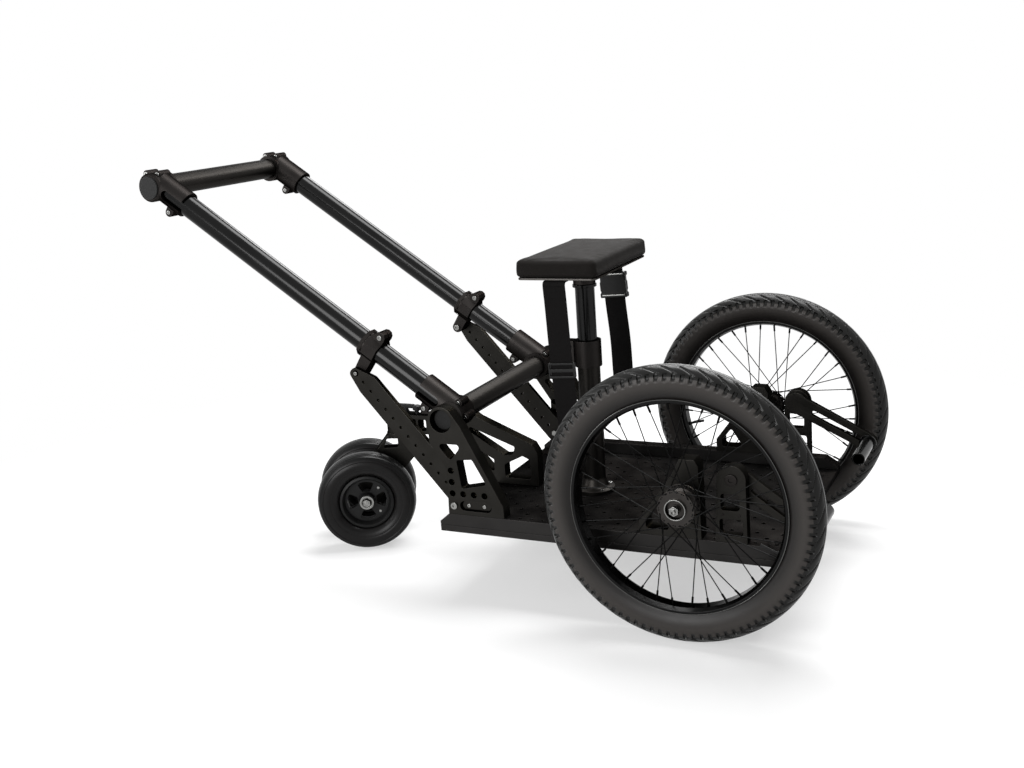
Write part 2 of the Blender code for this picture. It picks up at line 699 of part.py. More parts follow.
def add_fitting(name, handle, ring_x, toward, side):
    """A corner fitting: a ring round the cross tube or grip bar, and a sleeve toward the other."""
    lug_x, lug_z = FITTING_LUG
    ring_lug_x, ring_lug_z = RING_LUG
    place = (ring_x, side * HANDLE_TUBE_Y, 0)
    tube_place = (ring_x, side * HANDLE_TUBE_Y, TUBE_RISE)
    along_tube = (0, math.radians(90 * toward), 0)
    half = FITTING_RING_HALF_WIDTH
    ring = turned([
        (0, half), (FITTING_RING_RADIUS - RING_CHAMFER, half),
        (FITTING_RING_RADIUS, half - RING_CHAMFER), (FITTING_RING_RADIUS, -half), (0, -half),
    ], FITTING_STEPS)
    fitting = add_part(name, ring, "cast fitting", handle, place, facing(side))
    sleeve = rod_mesh(FITTING_SLEEVE_RADIUS, 0, FITTING_REACH, FITTING_STEPS)
    combine(fitting, sleeve, "UNION", tube_place, along_tube)
    sleeve_lug = plate([lug_outline((toward * lug_x, lug_z), FITTING_LUG_RADIUS, (toward * lug_x, 0))],
                       FITTING_LUG_WIDTH)
    combine(fitting, sleeve_lug, "UNION", tube_place, UPRIGHT)
    ring_lug = plate([lug_outline((toward * ring_lug_x, ring_lug_z), RING_LUG_RADIUS, (0, 0))],
                     RING_LUG_WIDTH)
    combine(fitting, ring_lug, "UNION", place, UPRIGHT)
    bore_length = 2 * half
    bore = rod_mesh(TUBE_RADIUS + SEAT_GAP, -bore_length, bore_length, TUBE_STEPS)
    combine(fitting, bore, "DIFFERENCE", place, facing(side))
    bore_start = FITTING_TUBE_START - TUBE_END_GAP
    tube_bore = rod_mesh(TUBE_RADIUS + SEAT_GAP, bore_start, FITTING_REACH + bore_length, TUBE_STEPS)
    combine(fitting, tube_bore, "DIFFERENCE", tube_place, along_tube)
    split_end = FITTING_REACH + FITTING_SPLIT_HEIGHT
    split = plate([slot((toward * FITTING_SPLIT_START, 0), (toward * split_end, 0),
                        FITTING_SPLIT_HEIGHT / 2, 3)], FITTING_SLEEVE_RADIUS)
    split_y = side * (HANDLE_TUBE_Y + FITTING_SLEEVE_RADIUS)
    combine(fitting, split, "DIFFERENCE", (ring_x, split_y, TUBE_RISE), UPRIGHT)


def add_handle(base):
    handle = add_pivot("handle_axis", base, (CROSS_X, 0, CROSS_Z), (0, HANDLE_RAKE, 0))
    cross = tube_mesh(TUBE_RADIUS, TUBE_WALL, CROSS_HALF_LENGTH, TUBE_STEPS)
    grip = tube_mesh(TUBE_RADIUS, TUBE_WALL, GRIP_HALF_LENGTH, TUBE_STEPS)
    add_part("cross_tube", cross, "matte black tube", handle, (0, 0, 0), UPRIGHT)
    add_part("grip_bar", grip, "matte black tube", handle, (-HANDLE_LENGTH, 0, 0), UPRIGHT)
    cross_cap = end_cap_mesh(CROSS_CAP_RADIUS, TUBE_RADIUS - TUBE_WALL)
    grip_cap = end_cap_mesh(END_CAP_RADIUS, TUBE_RADIUS - TUBE_WALL)
    half_tube = HANDLE_LENGTH / 2 - FITTING_TUBE_START
    handle_tube = tube_mesh(TUBE_RADIUS, TUBE_WALL, half_tube, TUBE_STEPS)
    for side_name, side in SIDES:
        add_part(f"{side_name}_cross_tube_cap", cross_cap, "black nylon", handle,
                 (0, side * CROSS_HALF_LENGTH, 0), facing(side))
        add_part(f"{side_name}_grip_cap", grip_cap, "black nylon", handle,
                 (-HANDLE_LENGTH, side * GRIP_HALF_LENGTH, 0), facing(side))
        add_part(f"{side_name}_handle_tube", handle_tube, "gloss black tube", handle,
                 (-HANDLE_LENGTH / 2, side * HANDLE_TUBE_Y, TUBE_RISE), (0, math.radians(90), 0))
        add_fitting(f"{side_name}_lower_fitting", handle, 0, -1, side)
        add_fitting(f"{side_name}_upper_fitting", handle, -HANDLE_LENGTH, 1, side)
    return handle


# Sliding clamps and braces


def add_clamps(handle):
    slide = add_pivot("clamp_slide", handle, (-CLAMP_ALONG, 0, TUBE_RISE))
    pivot_x, pivot_z = CLAMP_PIVOT
    lug_x, lug_z = CLAMP_LUG
    tongue_y = TONGUE_OUTER_Y - TONGUE_THICKNESS / 2
    half = CLAMP_TONGUE_WIDTH / 2
    tongue_outline = arc((pivot_x, pivot_z), CLAMP_TONGUE_TIP_RADIUS, 190, 350, 6)
    tongue_outline += [(pivot_x + half, CLAMP_TONGUE_ROOT), (pivot_x - half, CLAMP_TONGUE_ROOT)]
    bolt_end = BRACE_OUTER_Y + SEAT_GAP - TONGUE_OUTER_Y
    bolt = turned([
        (0, bolt_end + 0.0025), (PIVOT_BOLT_HEAD_RADIUS, bolt_end + 0.0025),
        (PIVOT_BOLT_HEAD_RADIUS, bolt_end), (PIVOT_BOLT_RADIUS, bolt_end),
        (PIVOT_BOLT_RADIUS, -TONGUE_THICKNESS - SEAT_GAP),
        (PIVOT_BOLT_HEAD_RADIUS, -TONGUE_THICKNESS - SEAT_GAP),
        (PIVOT_BOLT_HEAD_RADIUS, -TONGUE_THICKNESS - PIVOT_BOLT_HEAD_LENGTH),
        (0, -TONGUE_THICKNESS - PIVOT_BOLT_HEAD_LENGTH),
    ], 12)
    for side_name, side in SIDES:
        middle = (0, side * HANDLE_TUBE_Y, 0)
        collar = rod_mesh(CLAMP_RADIUS, -CLAMP_LENGTH / 2, CLAMP_LENGTH / 2, 16)
        clamp = add_part(f"{side_name}_sliding_clamp", collar, "cast fitting", slide, middle,
                         (0, math.radians(90), 0))
        lug = plate([lug_outline((lug_x, lug_z), CLAMP_LUG_RADIUS, (CLAMP_LUG_ROOT, 0))], CLAMP_LUG_WIDTH)
        combine(clamp, lug, "UNION", middle, UPRIGHT)
        tongue = plate([tongue_outline], TONGUE_THICKNESS)
        combine(clamp, tongue, "UNION", (0, side * tongue_y, 0), UPRIGHT)
        bore = rod_mesh(TUBE_RADIUS + RUNNING_GAP, -CLAMP_LENGTH, CLAMP_LENGTH, TUBE_STEPS)
        combine(clamp, bore, "DIFFERENCE", middle, (0, math.radians(90), 0))
        bolt_hole = rod_mesh(PIVOT_BOLT_RADIUS + SEAT_GAP, -0.05, 0.05, 12)
        combine(clamp, bolt_hole, "DIFFERENCE", (pivot_x, middle[1], pivot_z), UPRIGHT)
        add_part(f"{side_name}_pivot_bolt", bolt, "zinc steel", slide,
                 (pivot_x, side * TONGUE_OUTER_Y, pivot_z), facing(side))


def clamp_pivot_position():
    """The brace's upper pivot at rest, in X and Z."""
    pivot_x, pivot_z = CLAMP_PIVOT
    turn = Matrix.Rotation(HANDLE_RAKE, 3, "Y")
    return Vector((CROSS_X, 0, CROSS_Z)) + turn @ Vector((pivot_x - CLAMP_ALONG, 0, pivot_z + TUBE_RISE))


def add_braces(base):
    bolt_x, bolt_z = BRACKET_BOLT
    foot = Vector((CROSS_X + bolt_x, 0, FOOT_Z + bolt_z))
    reach = clamp_pivot_position() - foot
    length = reach.length
    rise = math.atan2(reach.z, -reach.x)
    turn = add_pivot("brace_axis", base, foot, (0, rise, 0))
    tip = -length - BRACE_TIP
    corners = [(tip, -BRACE_TIP), (tip, 0.006), (-length + BRACE_TAPER, BRACE_FRONT),
               (BRACE_FOOT, BRACE_FRONT), (BRACE_FOOT, -BRACE_REAR), (-length + BRACE_TAPER, -BRACE_REAR)]
    outline = rounded(corners, [0.010, 0.010, 0.018, 0.018, 0.018, 0.018])
    pitch = length / BRACE_HOLES
    loops = [outline, circle((0, 0), round_bore(BRACE_BOLT_RADIUS, RUNNING_GAP, 12), 12)]
    slack = OPEN_PIVOT_SLACK + RUNNING_GAP
    loops.append(circle((-length, 0), round_bore(PIVOT_BOLT_RADIUS, slack, 12), 12))
    loops += [circle((-step * pitch, 0), BRACE_HOLE_RADIUS, 6) for step in range(1, BRACE_HOLES)]
    brace = plate(loops, BRACE_THICKNESS)
    for side_name, side in SIDES:
        place = (0, side * (BRACE_OUTER_Y - BRACE_THICKNESS / 2), 0)
        add_part(f"{side_name}_brace", brace, "anodised plate", turn, place, UPRIGHT)


# Axle uprights and footrests


def add_uprights(base):
    axle = (0, AXLE_Z - FOOT_Z)
    top = UPRIGHT_HEIGHT
    outline = [
        (UPRIGHT_REAR, 0), (UPRIGHT_FRONT, 0), (UPRIGHT_FRONT - 0.003, top - 0.012), (0.013, top),
        (-0.016, top), (-0.026, top - 0.022), (-0.050, 0.099), (-0.067, 0.075), (UPRIGHT_REAR, 0.030),
    ]
    loops = [
        outline,
        circle(axle, AXLE_RADIUS + SEAT_GAP, AXLE_STEPS),
        rounded([(-0.087, 0.013), (-0.037, 0.013), (-0.066, 0.058), (-0.087, 0.030)], 0.005),
    ]
    upright = plate(loops, UPRIGHT_THICKNESS)
    for side_name, side in SIDES:
        place = (0, side * (DECK_HALF_WIDTH - UPRIGHT_THICKNESS / 2), FOOT_Z)
        add_part(f"{side_name}_axle_upright", upright, "anodised plate", base, place, UPRIGHT)


def footrest_bracket_mesh():
    boss = (0, FOOTREST_Z - FOOT_Z)
    rear, front = FOOTREST_FOOT
    outline = [(rear, 0), (front, 0)]
    outline += arc(boss, FOOTREST_BOSS_RADIUS, -10, 190, 10)
    loops = [
        outline,
        rounded(box_outline(-0.021, 0.015, 0.064, 0.097), 0.006),
        rounded(box_outline(-0.024, 0.021, 0.014, 0.047), 0.006),
        circle(boss, round_bore(FOOTREST_PIN_RADIUS, RUNNING_GAP, 12), 12),
    ]
    return plate(loops, FOOTREST_BRACKET_THICKNESS)


def footrest_arm_mesh():
    end = FOOTREST_ARM_LENGTH
    half = FOOTREST_ARM_HALF_WIDTH
    outline = arc((0, 0), FOOTREST_HEAD_RADIUS, 60, 300, 10)
    outline += arc((end, 0), half, -90, 90, 6)
    loops = [outline, slot((FOOTREST_SLOT_START, 0), (end, 0), FOOTREST_SLOT_RADIUS)]
    return plate(loops, FOOTREST_ARM_THICKNESS)


def add_footrests(base):
    bracket = footrest_bracket_mesh()
    bracket_inner_y = DECK_HALF_WIDTH - FOOTREST_BRACKET_THICKNESS
    arm_outer_y = bracket_inner_y - SEAT_GAP
    arm_middle_y = arm_outer_y - FOOTREST_ARM_THICKNESS / 2
    arm_inner_y = arm_outer_y - FOOTREST_ARM_THICKNESS
    arm = footrest_arm_mesh()
    peg_flange_y = arm_inner_y - SEAT_GAP
    peg_length = peg_flange_y - PEG_END_Y
    inner = PEG_RADIUS - PEG_WALL
    stud_top = FOOTREST_ARM_THICKNESS + 2 * SEAT_GAP
    peg = turned([
        (0, stud_top + 0.004), (0.008, stud_top + 0.004), (0.008, stud_top),
        (PEG_STUD_RADIUS, stud_top), (PEG_STUD_RADIUS, 0), (PEG_FLANGE_RADIUS, 0),
        (PEG_FLANGE_RADIUS, -PEG_FLANGE_THICKNESS), (PEG_RADIUS, -PEG_FLANGE_THICKNESS),
        (PEG_RADIUS, -peg_length), (inner, -peg_length), (inner, -0.012), (0, -0.012),
    ], TUBE_STEPS)
    pin = turned([
        (0, 0.003), (0.012, 0.003), (0.012, SEAT_GAP), (FOOTREST_PIN_RADIUS, SEAT_GAP),
        (FOOTREST_PIN_RADIUS, -FOOTREST_BRACKET_THICKNESS - FOOTREST_ARM_THICKNESS),
        (0, -FOOTREST_BRACKET_THICKNESS - FOOTREST_ARM_THICKNESS),
    ], 12)
    for (side_name, side), drop in zip(SIDES, FOOTREST_DROPS):
        place = (FOOTREST_X, side * (DECK_HALF_WIDTH - FOOTREST_BRACKET_THICKNESS / 2), FOOT_Z)
        add_part(f"{side_name}_footrest_bracket", bracket, "anodised plate", base, place, UPRIGHT)
        pivot = add_pivot(f"{side_name}_footrest_axis", base, (FOOTREST_X, 0, FOOTREST_Z),
                          (0, drop, 0))
        arm_part = add_part(f"{side_name}_footrest_arm", arm, "anodised plate", pivot,
                            (0, side * arm_middle_y, 0), UPRIGHT)
        combine(arm_part, pin, "UNION", (0, side * DECK_HALF_WIDTH, 0), facing(side))
        add_part(f"{side_name}_footrest_peg", peg, "gloss black tube", pivot,
                 (FOOTREST_ARM_LENGTH, side * peg_flange_y, 0), facing(side))


# Caster arm and caster


def add_caster_arm(base):
    rear = -ARM_LENGTH
    outline = [
        (0, 0), (0, 0.078), (-0.012, 0.098), (-0.145, 0.153), (-0.155, 0.160), (-0.168, 0.160),
        (-0.178, ARM_TOP), (rear, ARM_TOP), (rear, ARM_UNDERSIDE), (-0.240, ARM_UNDERSIDE),
        (-0.196, 0.092), (-0.126, 0.010), (-0.126, 0),
    ]
    loops = [
        outline,
        rounded([(-0.169, 0.131), (-0.056, 0.0895), (-0.062, 0.071), (-0.084, 0.068), (-0.169, 0.119)],
                0.004),
        rounded([(-0.084, 0.046), (-0.038, 0.069), (-0.019, 0.060), (-0.019, 0.015), (-0.084, 0.015)],
                0.006),
        rounded([(-0.168, 0.087), (-0.111, 0.056), (-0.111, 0.022)], 0.004),
        rounded(box_outline(-0.304, -0.283, 0.112, 0.139), 0.004),
        rounded(box_outline(-0.320, -0.310, 0.112, 0.139), 0.003),
        slot((-0.268, 0.119), (-0.268, 0.132), 0.0065, 3),
    ]
    add_part("caster_arm", plate(loops, ARM_THICKNESS), "anodised plate", base,
             (ARM_FRONT_X, 0, FLOOR_Z), UPRIGHT)


def add_caster_head(base):
    """The swivel's barrel and the neck that joins it to the rear end of the arm."""
    neck_end = ARM_FRONT_X - ARM_LENGTH - SEAT_GAP - CASTER_X
    neck_turn = math.degrees(math.asin(HEAD_NECK_HALF_WIDTH / HEAD_RADIUS))
    outline = arc((0, 0), HEAD_RADIUS, neck_turn, 360 - neck_turn, STEM_STEPS)
    outline += [(neck_end, -HEAD_NECK_HALF_WIDTH), (neck_end, HEAD_NECK_HALF_WIDTH)]
    stem_bore = circle((0, 0), round_bore(STEM_RADIUS, RUNNING_GAP, STEM_STEPS), STEM_STEPS)
    body = plate([outline, stem_bore], HEAD_TOP - HEAD_BOTTOM)
    head = add_part("caster_head", body, "anodised plate", base, (CASTER_X, 0, (HEAD_TOP + HEAD_BOTTOM) / 2))
    lock_bore = round_bore(LOCK_STEM_RADIUS, RUNNING_GAP, LOCK_STEPS)
    lock_hole = rod_mesh(lock_bore, -LOCK_STEM_DEPTH - SEAT_GAP, LOCK_STEM_DEPTH, LOCK_STEPS)
    combine(head, lock_hole, "DIFFERENCE", (LOCK_X, 0, HEAD_TOP))


def add_lock_handle(base):
    """A T-handled lock screw that stands in the neck of the caster head."""
    pivot = add_pivot("lock_axis", base, (LOCK_X, 0, HEAD_TOP))
    bar_middle = LOCK_HANDLE_BOTTOM + LOCK_HANDLE_HEIGHT / 2
    stem = turned([
        (0, bar_middle), (LOCK_NECK_RADIUS, bar_middle), (LOCK_NECK_RADIUS, LOCK_COLLAR_HEIGHT),
        (LOCK_COLLAR_RADIUS, LOCK_COLLAR_HEIGHT), (LOCK_COLLAR_RADIUS, SEAT_GAP),
        (LOCK_STEM_RADIUS, SEAT_GAP), (LOCK_STEM_RADIUS, -LOCK_STEM_DEPTH), (0, -LOCK_STEM_DEPTH),
    ], LOCK_STEPS)
    handle = add_part("caster_lock_handle", stem, "black nylon", pivot)
    end_x = (LOCK_HANDLE_LENGTH - LOCK_HANDLE_HEIGHT) / 2
    bar = plate([slot((-end_x, 0), (end_x, 0), LOCK_HANDLE_HEIGHT / 2)], LOCK_HANDLE_HEIGHT)
    combine(handle, bar, "UNION", (0, 0, bar_middle))


def fork_mesh(plate_top, plate_bottom):
    """The fork's one leg, between the two wheels, with the axle behind the swivel."""
    axle_x = -CASTER_TRAIL
    leg_top = (plate_top + plate_bottom) / 2
    outline = rounded([
        (FORK_PLATE_RADIUS, leg_top), (-FORK_PLATE_RADIUS, leg_top), (-0.053, 0.222),
        (axle_x - 0.026, 0.130), (axle_x - 0.015, 0.092), (axle_x + 0.018, 0.092), (0.036, 0.200),
        (0.036, 0.222),
    ], [0.002, 0.002, 0.010, 0.014, 0.012, 0.012, 0.006, 0.006])
    window = rounded([(-0.0366, 0.2256), (-0.0274, 0.2475), (-0.002, 0.2475), (-0.002, 0.2256)], 0.003)
    bore = circle((axle_x, CASTER_RADIUS), CASTER_BORE_RADIUS + SEAT_GAP, CASTER_AXLE_STEPS)
    return plate([outline, window, bore], FORK_THICKNESS)


def caster_axle_mesh():
    half = CASTER_WHEEL_Y + CASTER_RIM_HALF_WIDTH + CASTER_AXLE_OVERHANG
    shoulder = half - CASTER_NUT_LENGTH
    return turned([
        (0, half), (CASTER_NUT_RADIUS, half), (CASTER_NUT_RADIUS, shoulder),
        (CASTER_BORE_RADIUS, shoulder), (CASTER_BORE_RADIUS, -shoulder),
        (CASTER_NUT_RADIUS, -shoulder), (CASTER_NUT_RADIUS, -half), (0, -half),
    ], CASTER_AXLE_STEPS)


def add_caster(base):
    swivel = add_pivot("caster_axis", base, (CASTER_X, 0, 0), (0, 0, CASTER_TURN))
    plate_top = HEAD_BOTTOM - SEAT_GAP
    plate_bottom = plate_top - FORK_PLATE_THICKNESS
    cap_bottom = HEAD_TOP + SEAT_GAP
    cap_top = cap_bottom + STEM_CAP_HEIGHT
    fork = add_part("caster_fork", fork_mesh(plate_top, plate_bottom), "anodised plate", swivel,
                    (0, 0, 0), UPRIGHT)
    stem = turned([
        (0, cap_top), (STEM_CAP_RADIUS, cap_top), (STEM_CAP_RADIUS, cap_bottom),
        (STEM_RADIUS, cap_bottom), (STEM_RADIUS, plate_top), (FORK_PLATE_RADIUS, plate_top),
        (FORK_PLATE_RADIUS, plate_bottom), (0, plate_bottom),
    ], STEM_STEPS)
    combine(fork, stem, "UNION")
    add_part("caster_axle", caster_axle_mesh(), "zinc steel", swivel,
             (-CASTER_TRAIL, 0, CASTER_RADIUS), UPRIGHT)
    add_caster_wheels(swivel)


def caster_tyre_mesh():
    inner = CASTER_RIM_RADIUS + SEAT_GAP
    height = CASTER_RADIUS - inner
    half = CASTER_TYRE_HALF_WIDTH
    side = [(CASTER_RADIUS, half * 0.35), (CASTER_RADIUS - height * 0.17, half * 0.80),
            (CASTER_RADIUS - height * 0.45, half), (inner + height * 0.15, half * 0.86),
            (inner, CASTER_RIM_HALF_WIDTH - 0.006)]
    profile = side[::-1] + [(radius, -y) for radius, y in side]
    return turned(profile, CASTER_STEPS, closed=True)


def caster_hub_mesh():
    bore = round_bore(CASTER_BORE_RADIUS, RUNNING_GAP, CASTER_STEPS)
    half = CASTER_RIM_HALF_WIDTH
    web = 0.006
    side = [(bore, half + 0.0005), (CASTER_BEARING_RADIUS, half + 0.0005),
            (CASTER_BEARING_RADIUS + 0.003, web), (CASTER_RIM_RADIUS - 0.012, web),
            (CASTER_RIM_RADIUS - 0.006, half), (CASTER_RIM_RADIUS, half - 0.005)]
    profile = side + [(radius, -y) for radius, y in side[::-1]]
    return turned(profile, CASTER_STEPS, closed=True)


def add_caster_wheels(swivel):
    tyre = caster_tyre_mesh()
    hub = caster_hub_mesh()
    for side_name, side in SIDES:
        pivot = add_pivot(f"{side_name}_caster_wheel_axis", swivel,
                          (-CASTER_TRAIL, side * CASTER_WHEEL_Y, CASTER_RADIUS), facing(side))
        add_part(f"{side_name}_caster_tyre", tyre, "tyre rubber", pivot)
        wheel = add_part(f"{side_name}_caster_hub", hub, "black nylon", pivot)
        for quarter in range(4):
            angle = math.radians(45 + 90 * quarter)
            centre = (CASTER_WINDOW_PITCH * math.cos(angle), CASTER_WINDOW_PITCH * math.sin(angle))
            window = plate([circle(centre, CASTER_WINDOW_RADIUS, 6, angle)], 0.03)
            combine(wheel, window, "DIFFERENCE")


# Seat


def add_seat_post(base):
    bore = POST_RADIUS + RUNNING_GAP
    sleeve = turned([
        (SLEEVE_RADIUS, SLEEVE_TOP), (SLEEVE_RADIUS, FLOOR_Z + 0.030),
        (SLEEVE_RADIUS + 0.006, FLOOR_Z + SLEEVE_FOOT_HEIGHT + 0.004),
        (SLEEVE_FOOT_RADIUS, FLOOR_Z + SLEEVE_FOOT_HEIGHT), (SLEEVE_FOOT_RADIUS, FLOOR_Z),
        (bore, FLOOR_Z), (bore, SLEEVE_TOP),
    ], POST_STEPS, closed=True)
    add_part("seat_post_sleeve", sleeve, "matte black tube", base, (POST_X, 0, 0))
    lower_bore = SLEEVE_RADIUS + SEAT_GAP
    collar_mesh = turned([
        (COLLAR_RADIUS, COLLAR_TOP), (COLLAR_RADIUS, COLLAR_BOTTOM), (lower_bore, COLLAR_BOTTOM),
        (lower_bore, SLEEVE_TOP + SEAT_GAP), (bore, SLEEVE_TOP + SEAT_GAP), (bore, COLLAR_TOP),
    ], POST_STEPS, closed=True)
    collar = add_part("seat_post_collar", collar_mesh, "cast fitting", base, (POST_X, 0, 0))
    height = COLLAR_TOP - COLLAR_BOTTOM
    middle = (COLLAR_TOP + COLLAR_BOTTOM) / 2
    lug_rear = -COLLAR_RADIUS - COLLAR_LUG
    lug_front = -(lower_bore + COLLAR_RADIUS) / 2
    lug = box_mesh((lug_front - lug_rear, 2 * COLLAR_LUG_HALF_WIDTH, height - 0.004),
                   ((lug_rear + lug_front) / 2, 0, middle))
    combine(collar, lug, "UNION", (POST_X, 0, 0))
    split = box_mesh((0.050, COLLAR_SPLIT, height + 0.010), (-POST_RADIUS - 0.025, 0, middle))
    combine(collar, split, "DIFFERENCE", (POST_X, 0, 0))


def spread(share, half, shoulder):
    """Where a row of the pad's cage lies along a side: at its edge, at its shoulder or further in."""
    if abs(share) > 0.9:
        place = half
    elif abs(share) > 0.5:
        place = half - shoulder
    else:
        place = 0.4 * half
    return math.copysign(place, share)


def pad_mesh():
    """A crowned cushion whose sides come in towards its foot, from a coarse cage."""
    half_length = SEAT_LENGTH / 2
    half_width = SEAT_WIDTH / 2
    half_height = PAD_THICKNESS / 2
    mesh = bpy.data.meshes.new("pad")
    work = bmesh.new()
    bmesh.ops.create_cube(work, size=2)
    bmesh.ops.subdivide_edges(work, edges=list(work.edges), cuts=4, use_grid_fill=True)
    for vert in work.verts:
        up = vert.co.z
        x = spread(vert.co.x, half_length, PAD_SHOULDER)
        y = spread(vert.co.y, half_width, PAD_SHOULDER)
        z = spread(up, half_height, PAD_SHOULDER)
        if up > 0.9:
            z -= PAD_CROWN * (1 - (1 - (x / half_length) ** 2) * (1 - (y / half_width) ** 2))
        low = ((1 - up) / 2) ** 2
        x *= 1 - PAD_DRAW_IN * low / half_length
        y *= 1 - PAD_DRAW_IN * low / half_width
        vert.co = (x, y, z + half_height)
    work.to_mesh(mesh)
    work.free()
    pad = bpy.data.objects.new("pad", mesh)
    soft = pad.modifiers.new("soft", "SUBSURF")
    soft.levels = 1
    soft.render_levels = 1
    return evaluated_mesh(pad)


def belt_sway(down, length, straight):
    """How far the belt bows outwards at this depth, below its straight upper part."""
    share = (down - straight) / (length - straight)
    return BELT_SWAY * math.sin(math.pi * max(share, 0)) ** 2


def belt_mesh(length, straight):
    """One belt half hanging at x = 0: it leaves the seat plate outwards, turns down and hangs."""
    turn = BELT_TURN_RADIUS
    centreline = [(-0.012, 0.0)]
    centreline += [(turn * math.sin(a), turn * math.cos(a) - turn)
                   for a in [math.radians(22.5 * step) for step in range(5)]]
    for step in range(1, BELT_STEPS + 1):
        down = turn + (length - turn) * step / BELT_STEPS
        centreline.append((turn + belt_sway(down, length, straight), -down))
    outer = []
    inner = []
    for index, (y, z) in enumerate(centreline):
        before = Vector(centreline[max(index - 1, 0)])
        after = Vector(centreline[min(index + 1, len(centreline) - 1)])
        along = (after - before).normalized()
        across = Vector((-along.y, along.x)) * WEBBING_THICKNESS / 2
        outer.append((y + across.x, z + across.y))
        inner.append((y - across.x, z - across.y))
    ribbon = plate([outer + inner[::-1]], WEBBING_WIDTH)
    lean = Matrix(((0, -BELT_LEAN, 1, 0), (1, 0, 0, 0), (0, 1, 0, 0), (0, 0, 0, 1)))
    return moved(ribbon, lean)


def add_belt(name, seat, side, length, straight, buckle_name, buckle):
    drop, height, width, depth = buckle
    start_y = SEAT_WIDTH / 2 - 0.004
    start_z = SEAT_PLATE_BOTTOM - SEAT_GAP - WEBBING_THICKNESS / 2
    ribbon = belt_mesh(length, straight)
    if side < 0:
        ribbon = moved(ribbon, Matrix.Scale(-1, 4, (0, 1, 0)))
    add_part(name, ribbon, "webbing", seat, (0, side * start_y, start_z))
    middle = drop + height / 2
    hang_y = start_y + BELT_TURN_RADIUS + belt_sway(middle, length, straight)
    slot_width = WEBBING_WIDTH + 2 * BUCKLE_SLACK
    slot_depth = WEBBING_THICKNESS + 2 * BUCKLE_SLACK
    loops = [
        rounded(box_outline(-width / 2, width / 2, -depth / 2, depth / 2), 0.003, 2),
        box_outline(-slot_width / 2, slot_width / 2, -slot_depth / 2, slot_depth / 2),
    ]
    body = plate(loops, height)
    add_part(buckle_name, body, "black nylon", seat,
             (BELT_LEAN * middle, side * hang_y, start_z - middle), (0, -math.atan(BELT_LEAN), 0))


def add_seat(base):
    slide = add_pivot("seat_slide", base, (POST_X, 0, 0))
    inner = POST_RADIUS - POST_WALL
    post = turned([
        (POST_FLANGE_RADIUS, POST_TOP), (POST_FLANGE_RADIUS, POST_TOP - POST_FLANGE_HEIGHT),
        (POST_RADIUS, POST_TOP - POST_FLANGE_HEIGHT), (POST_RADIUS, POST_BOTTOM),
        (inner, POST_BOTTOM), (inner, POST_TOP),
    ], POST_STEPS, closed=True)
    add_part("seat_post", post, "gloss black tube", slide)
    seat = add_pivot("seat_turn", slide, (0, 0, 0))
    plate_size = (SEAT_LENGTH - 2 * SEAT_PLATE_INSET, SEAT_WIDTH - 2 * SEAT_PLATE_INSET, SEAT_PLATE_THICKNESS)
    seat_plate = add_part("seat_plate", box_mesh(plate_size), "seat plate", seat,
                          (0, 0, (SEAT_PLATE_TOP + SEAT_PLATE_BOTTOM) / 2))
    hub = turned([
        (0, SEAT_PLATE_BOTTOM + 0.002), (SEAT_HUB_RADIUS, SEAT_PLATE_BOTTOM + 0.002),
        (SEAT_HUB_RADIUS, POST_TOP + SEAT_GAP), (SEAT_SPIGOT_RADIUS, POST_TOP + SEAT_GAP),
        (SEAT_SPIGOT_RADIUS, POST_TOP - SEAT_SPIGOT_LENGTH), (0, POST_TOP - SEAT_SPIGOT_LENGTH),
    ], POST_STEPS)
    combine(seat_plate, hub, "UNION")
    add_part("seat_pad", pad_mesh(), "seat cover", seat, (0, 0, SEAT_BOTTOM), smooth=60)
    add_belt("right_belt", seat, -1, RIGHT_BELT_LENGTH, 0, "belt_slider",
             (SLIDER_DROP, SLIDER_LENGTH, SLIDER_WIDTH, SLIDER_DEPTH))
    add_belt("left_belt", seat, 1, LEFT_BELT_LENGTH, BUCKLE_DROP + BUCKLE_LENGTH, "belt_buckle",
             (BUCKLE_DROP, BUCKLE_LENGTH, BUCKLE_WIDTH, BUCKLE_DEPTH))


def build():
    base = add_pivot("rickshaw", None, (FRAME_X, 0, 0))
    add_deck(base)
    add_big_wheels(base)
    add_rear_brackets(base)
    handle = add_handle(base)
    add_clamps(handle)
    add_braces(base)
    add_uprights(base)
    add_footrests(base)
    add_caster_arm(base)
    add_caster_head(base)
    add_lock_handle(base)
    add_caster(base)
    add_seat_post(base)
    add_seat(base)
    bpy.context.view_layer.update()


build()
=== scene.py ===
import math

import bmesh
import bpy
from mathutils import Matrix, Vector


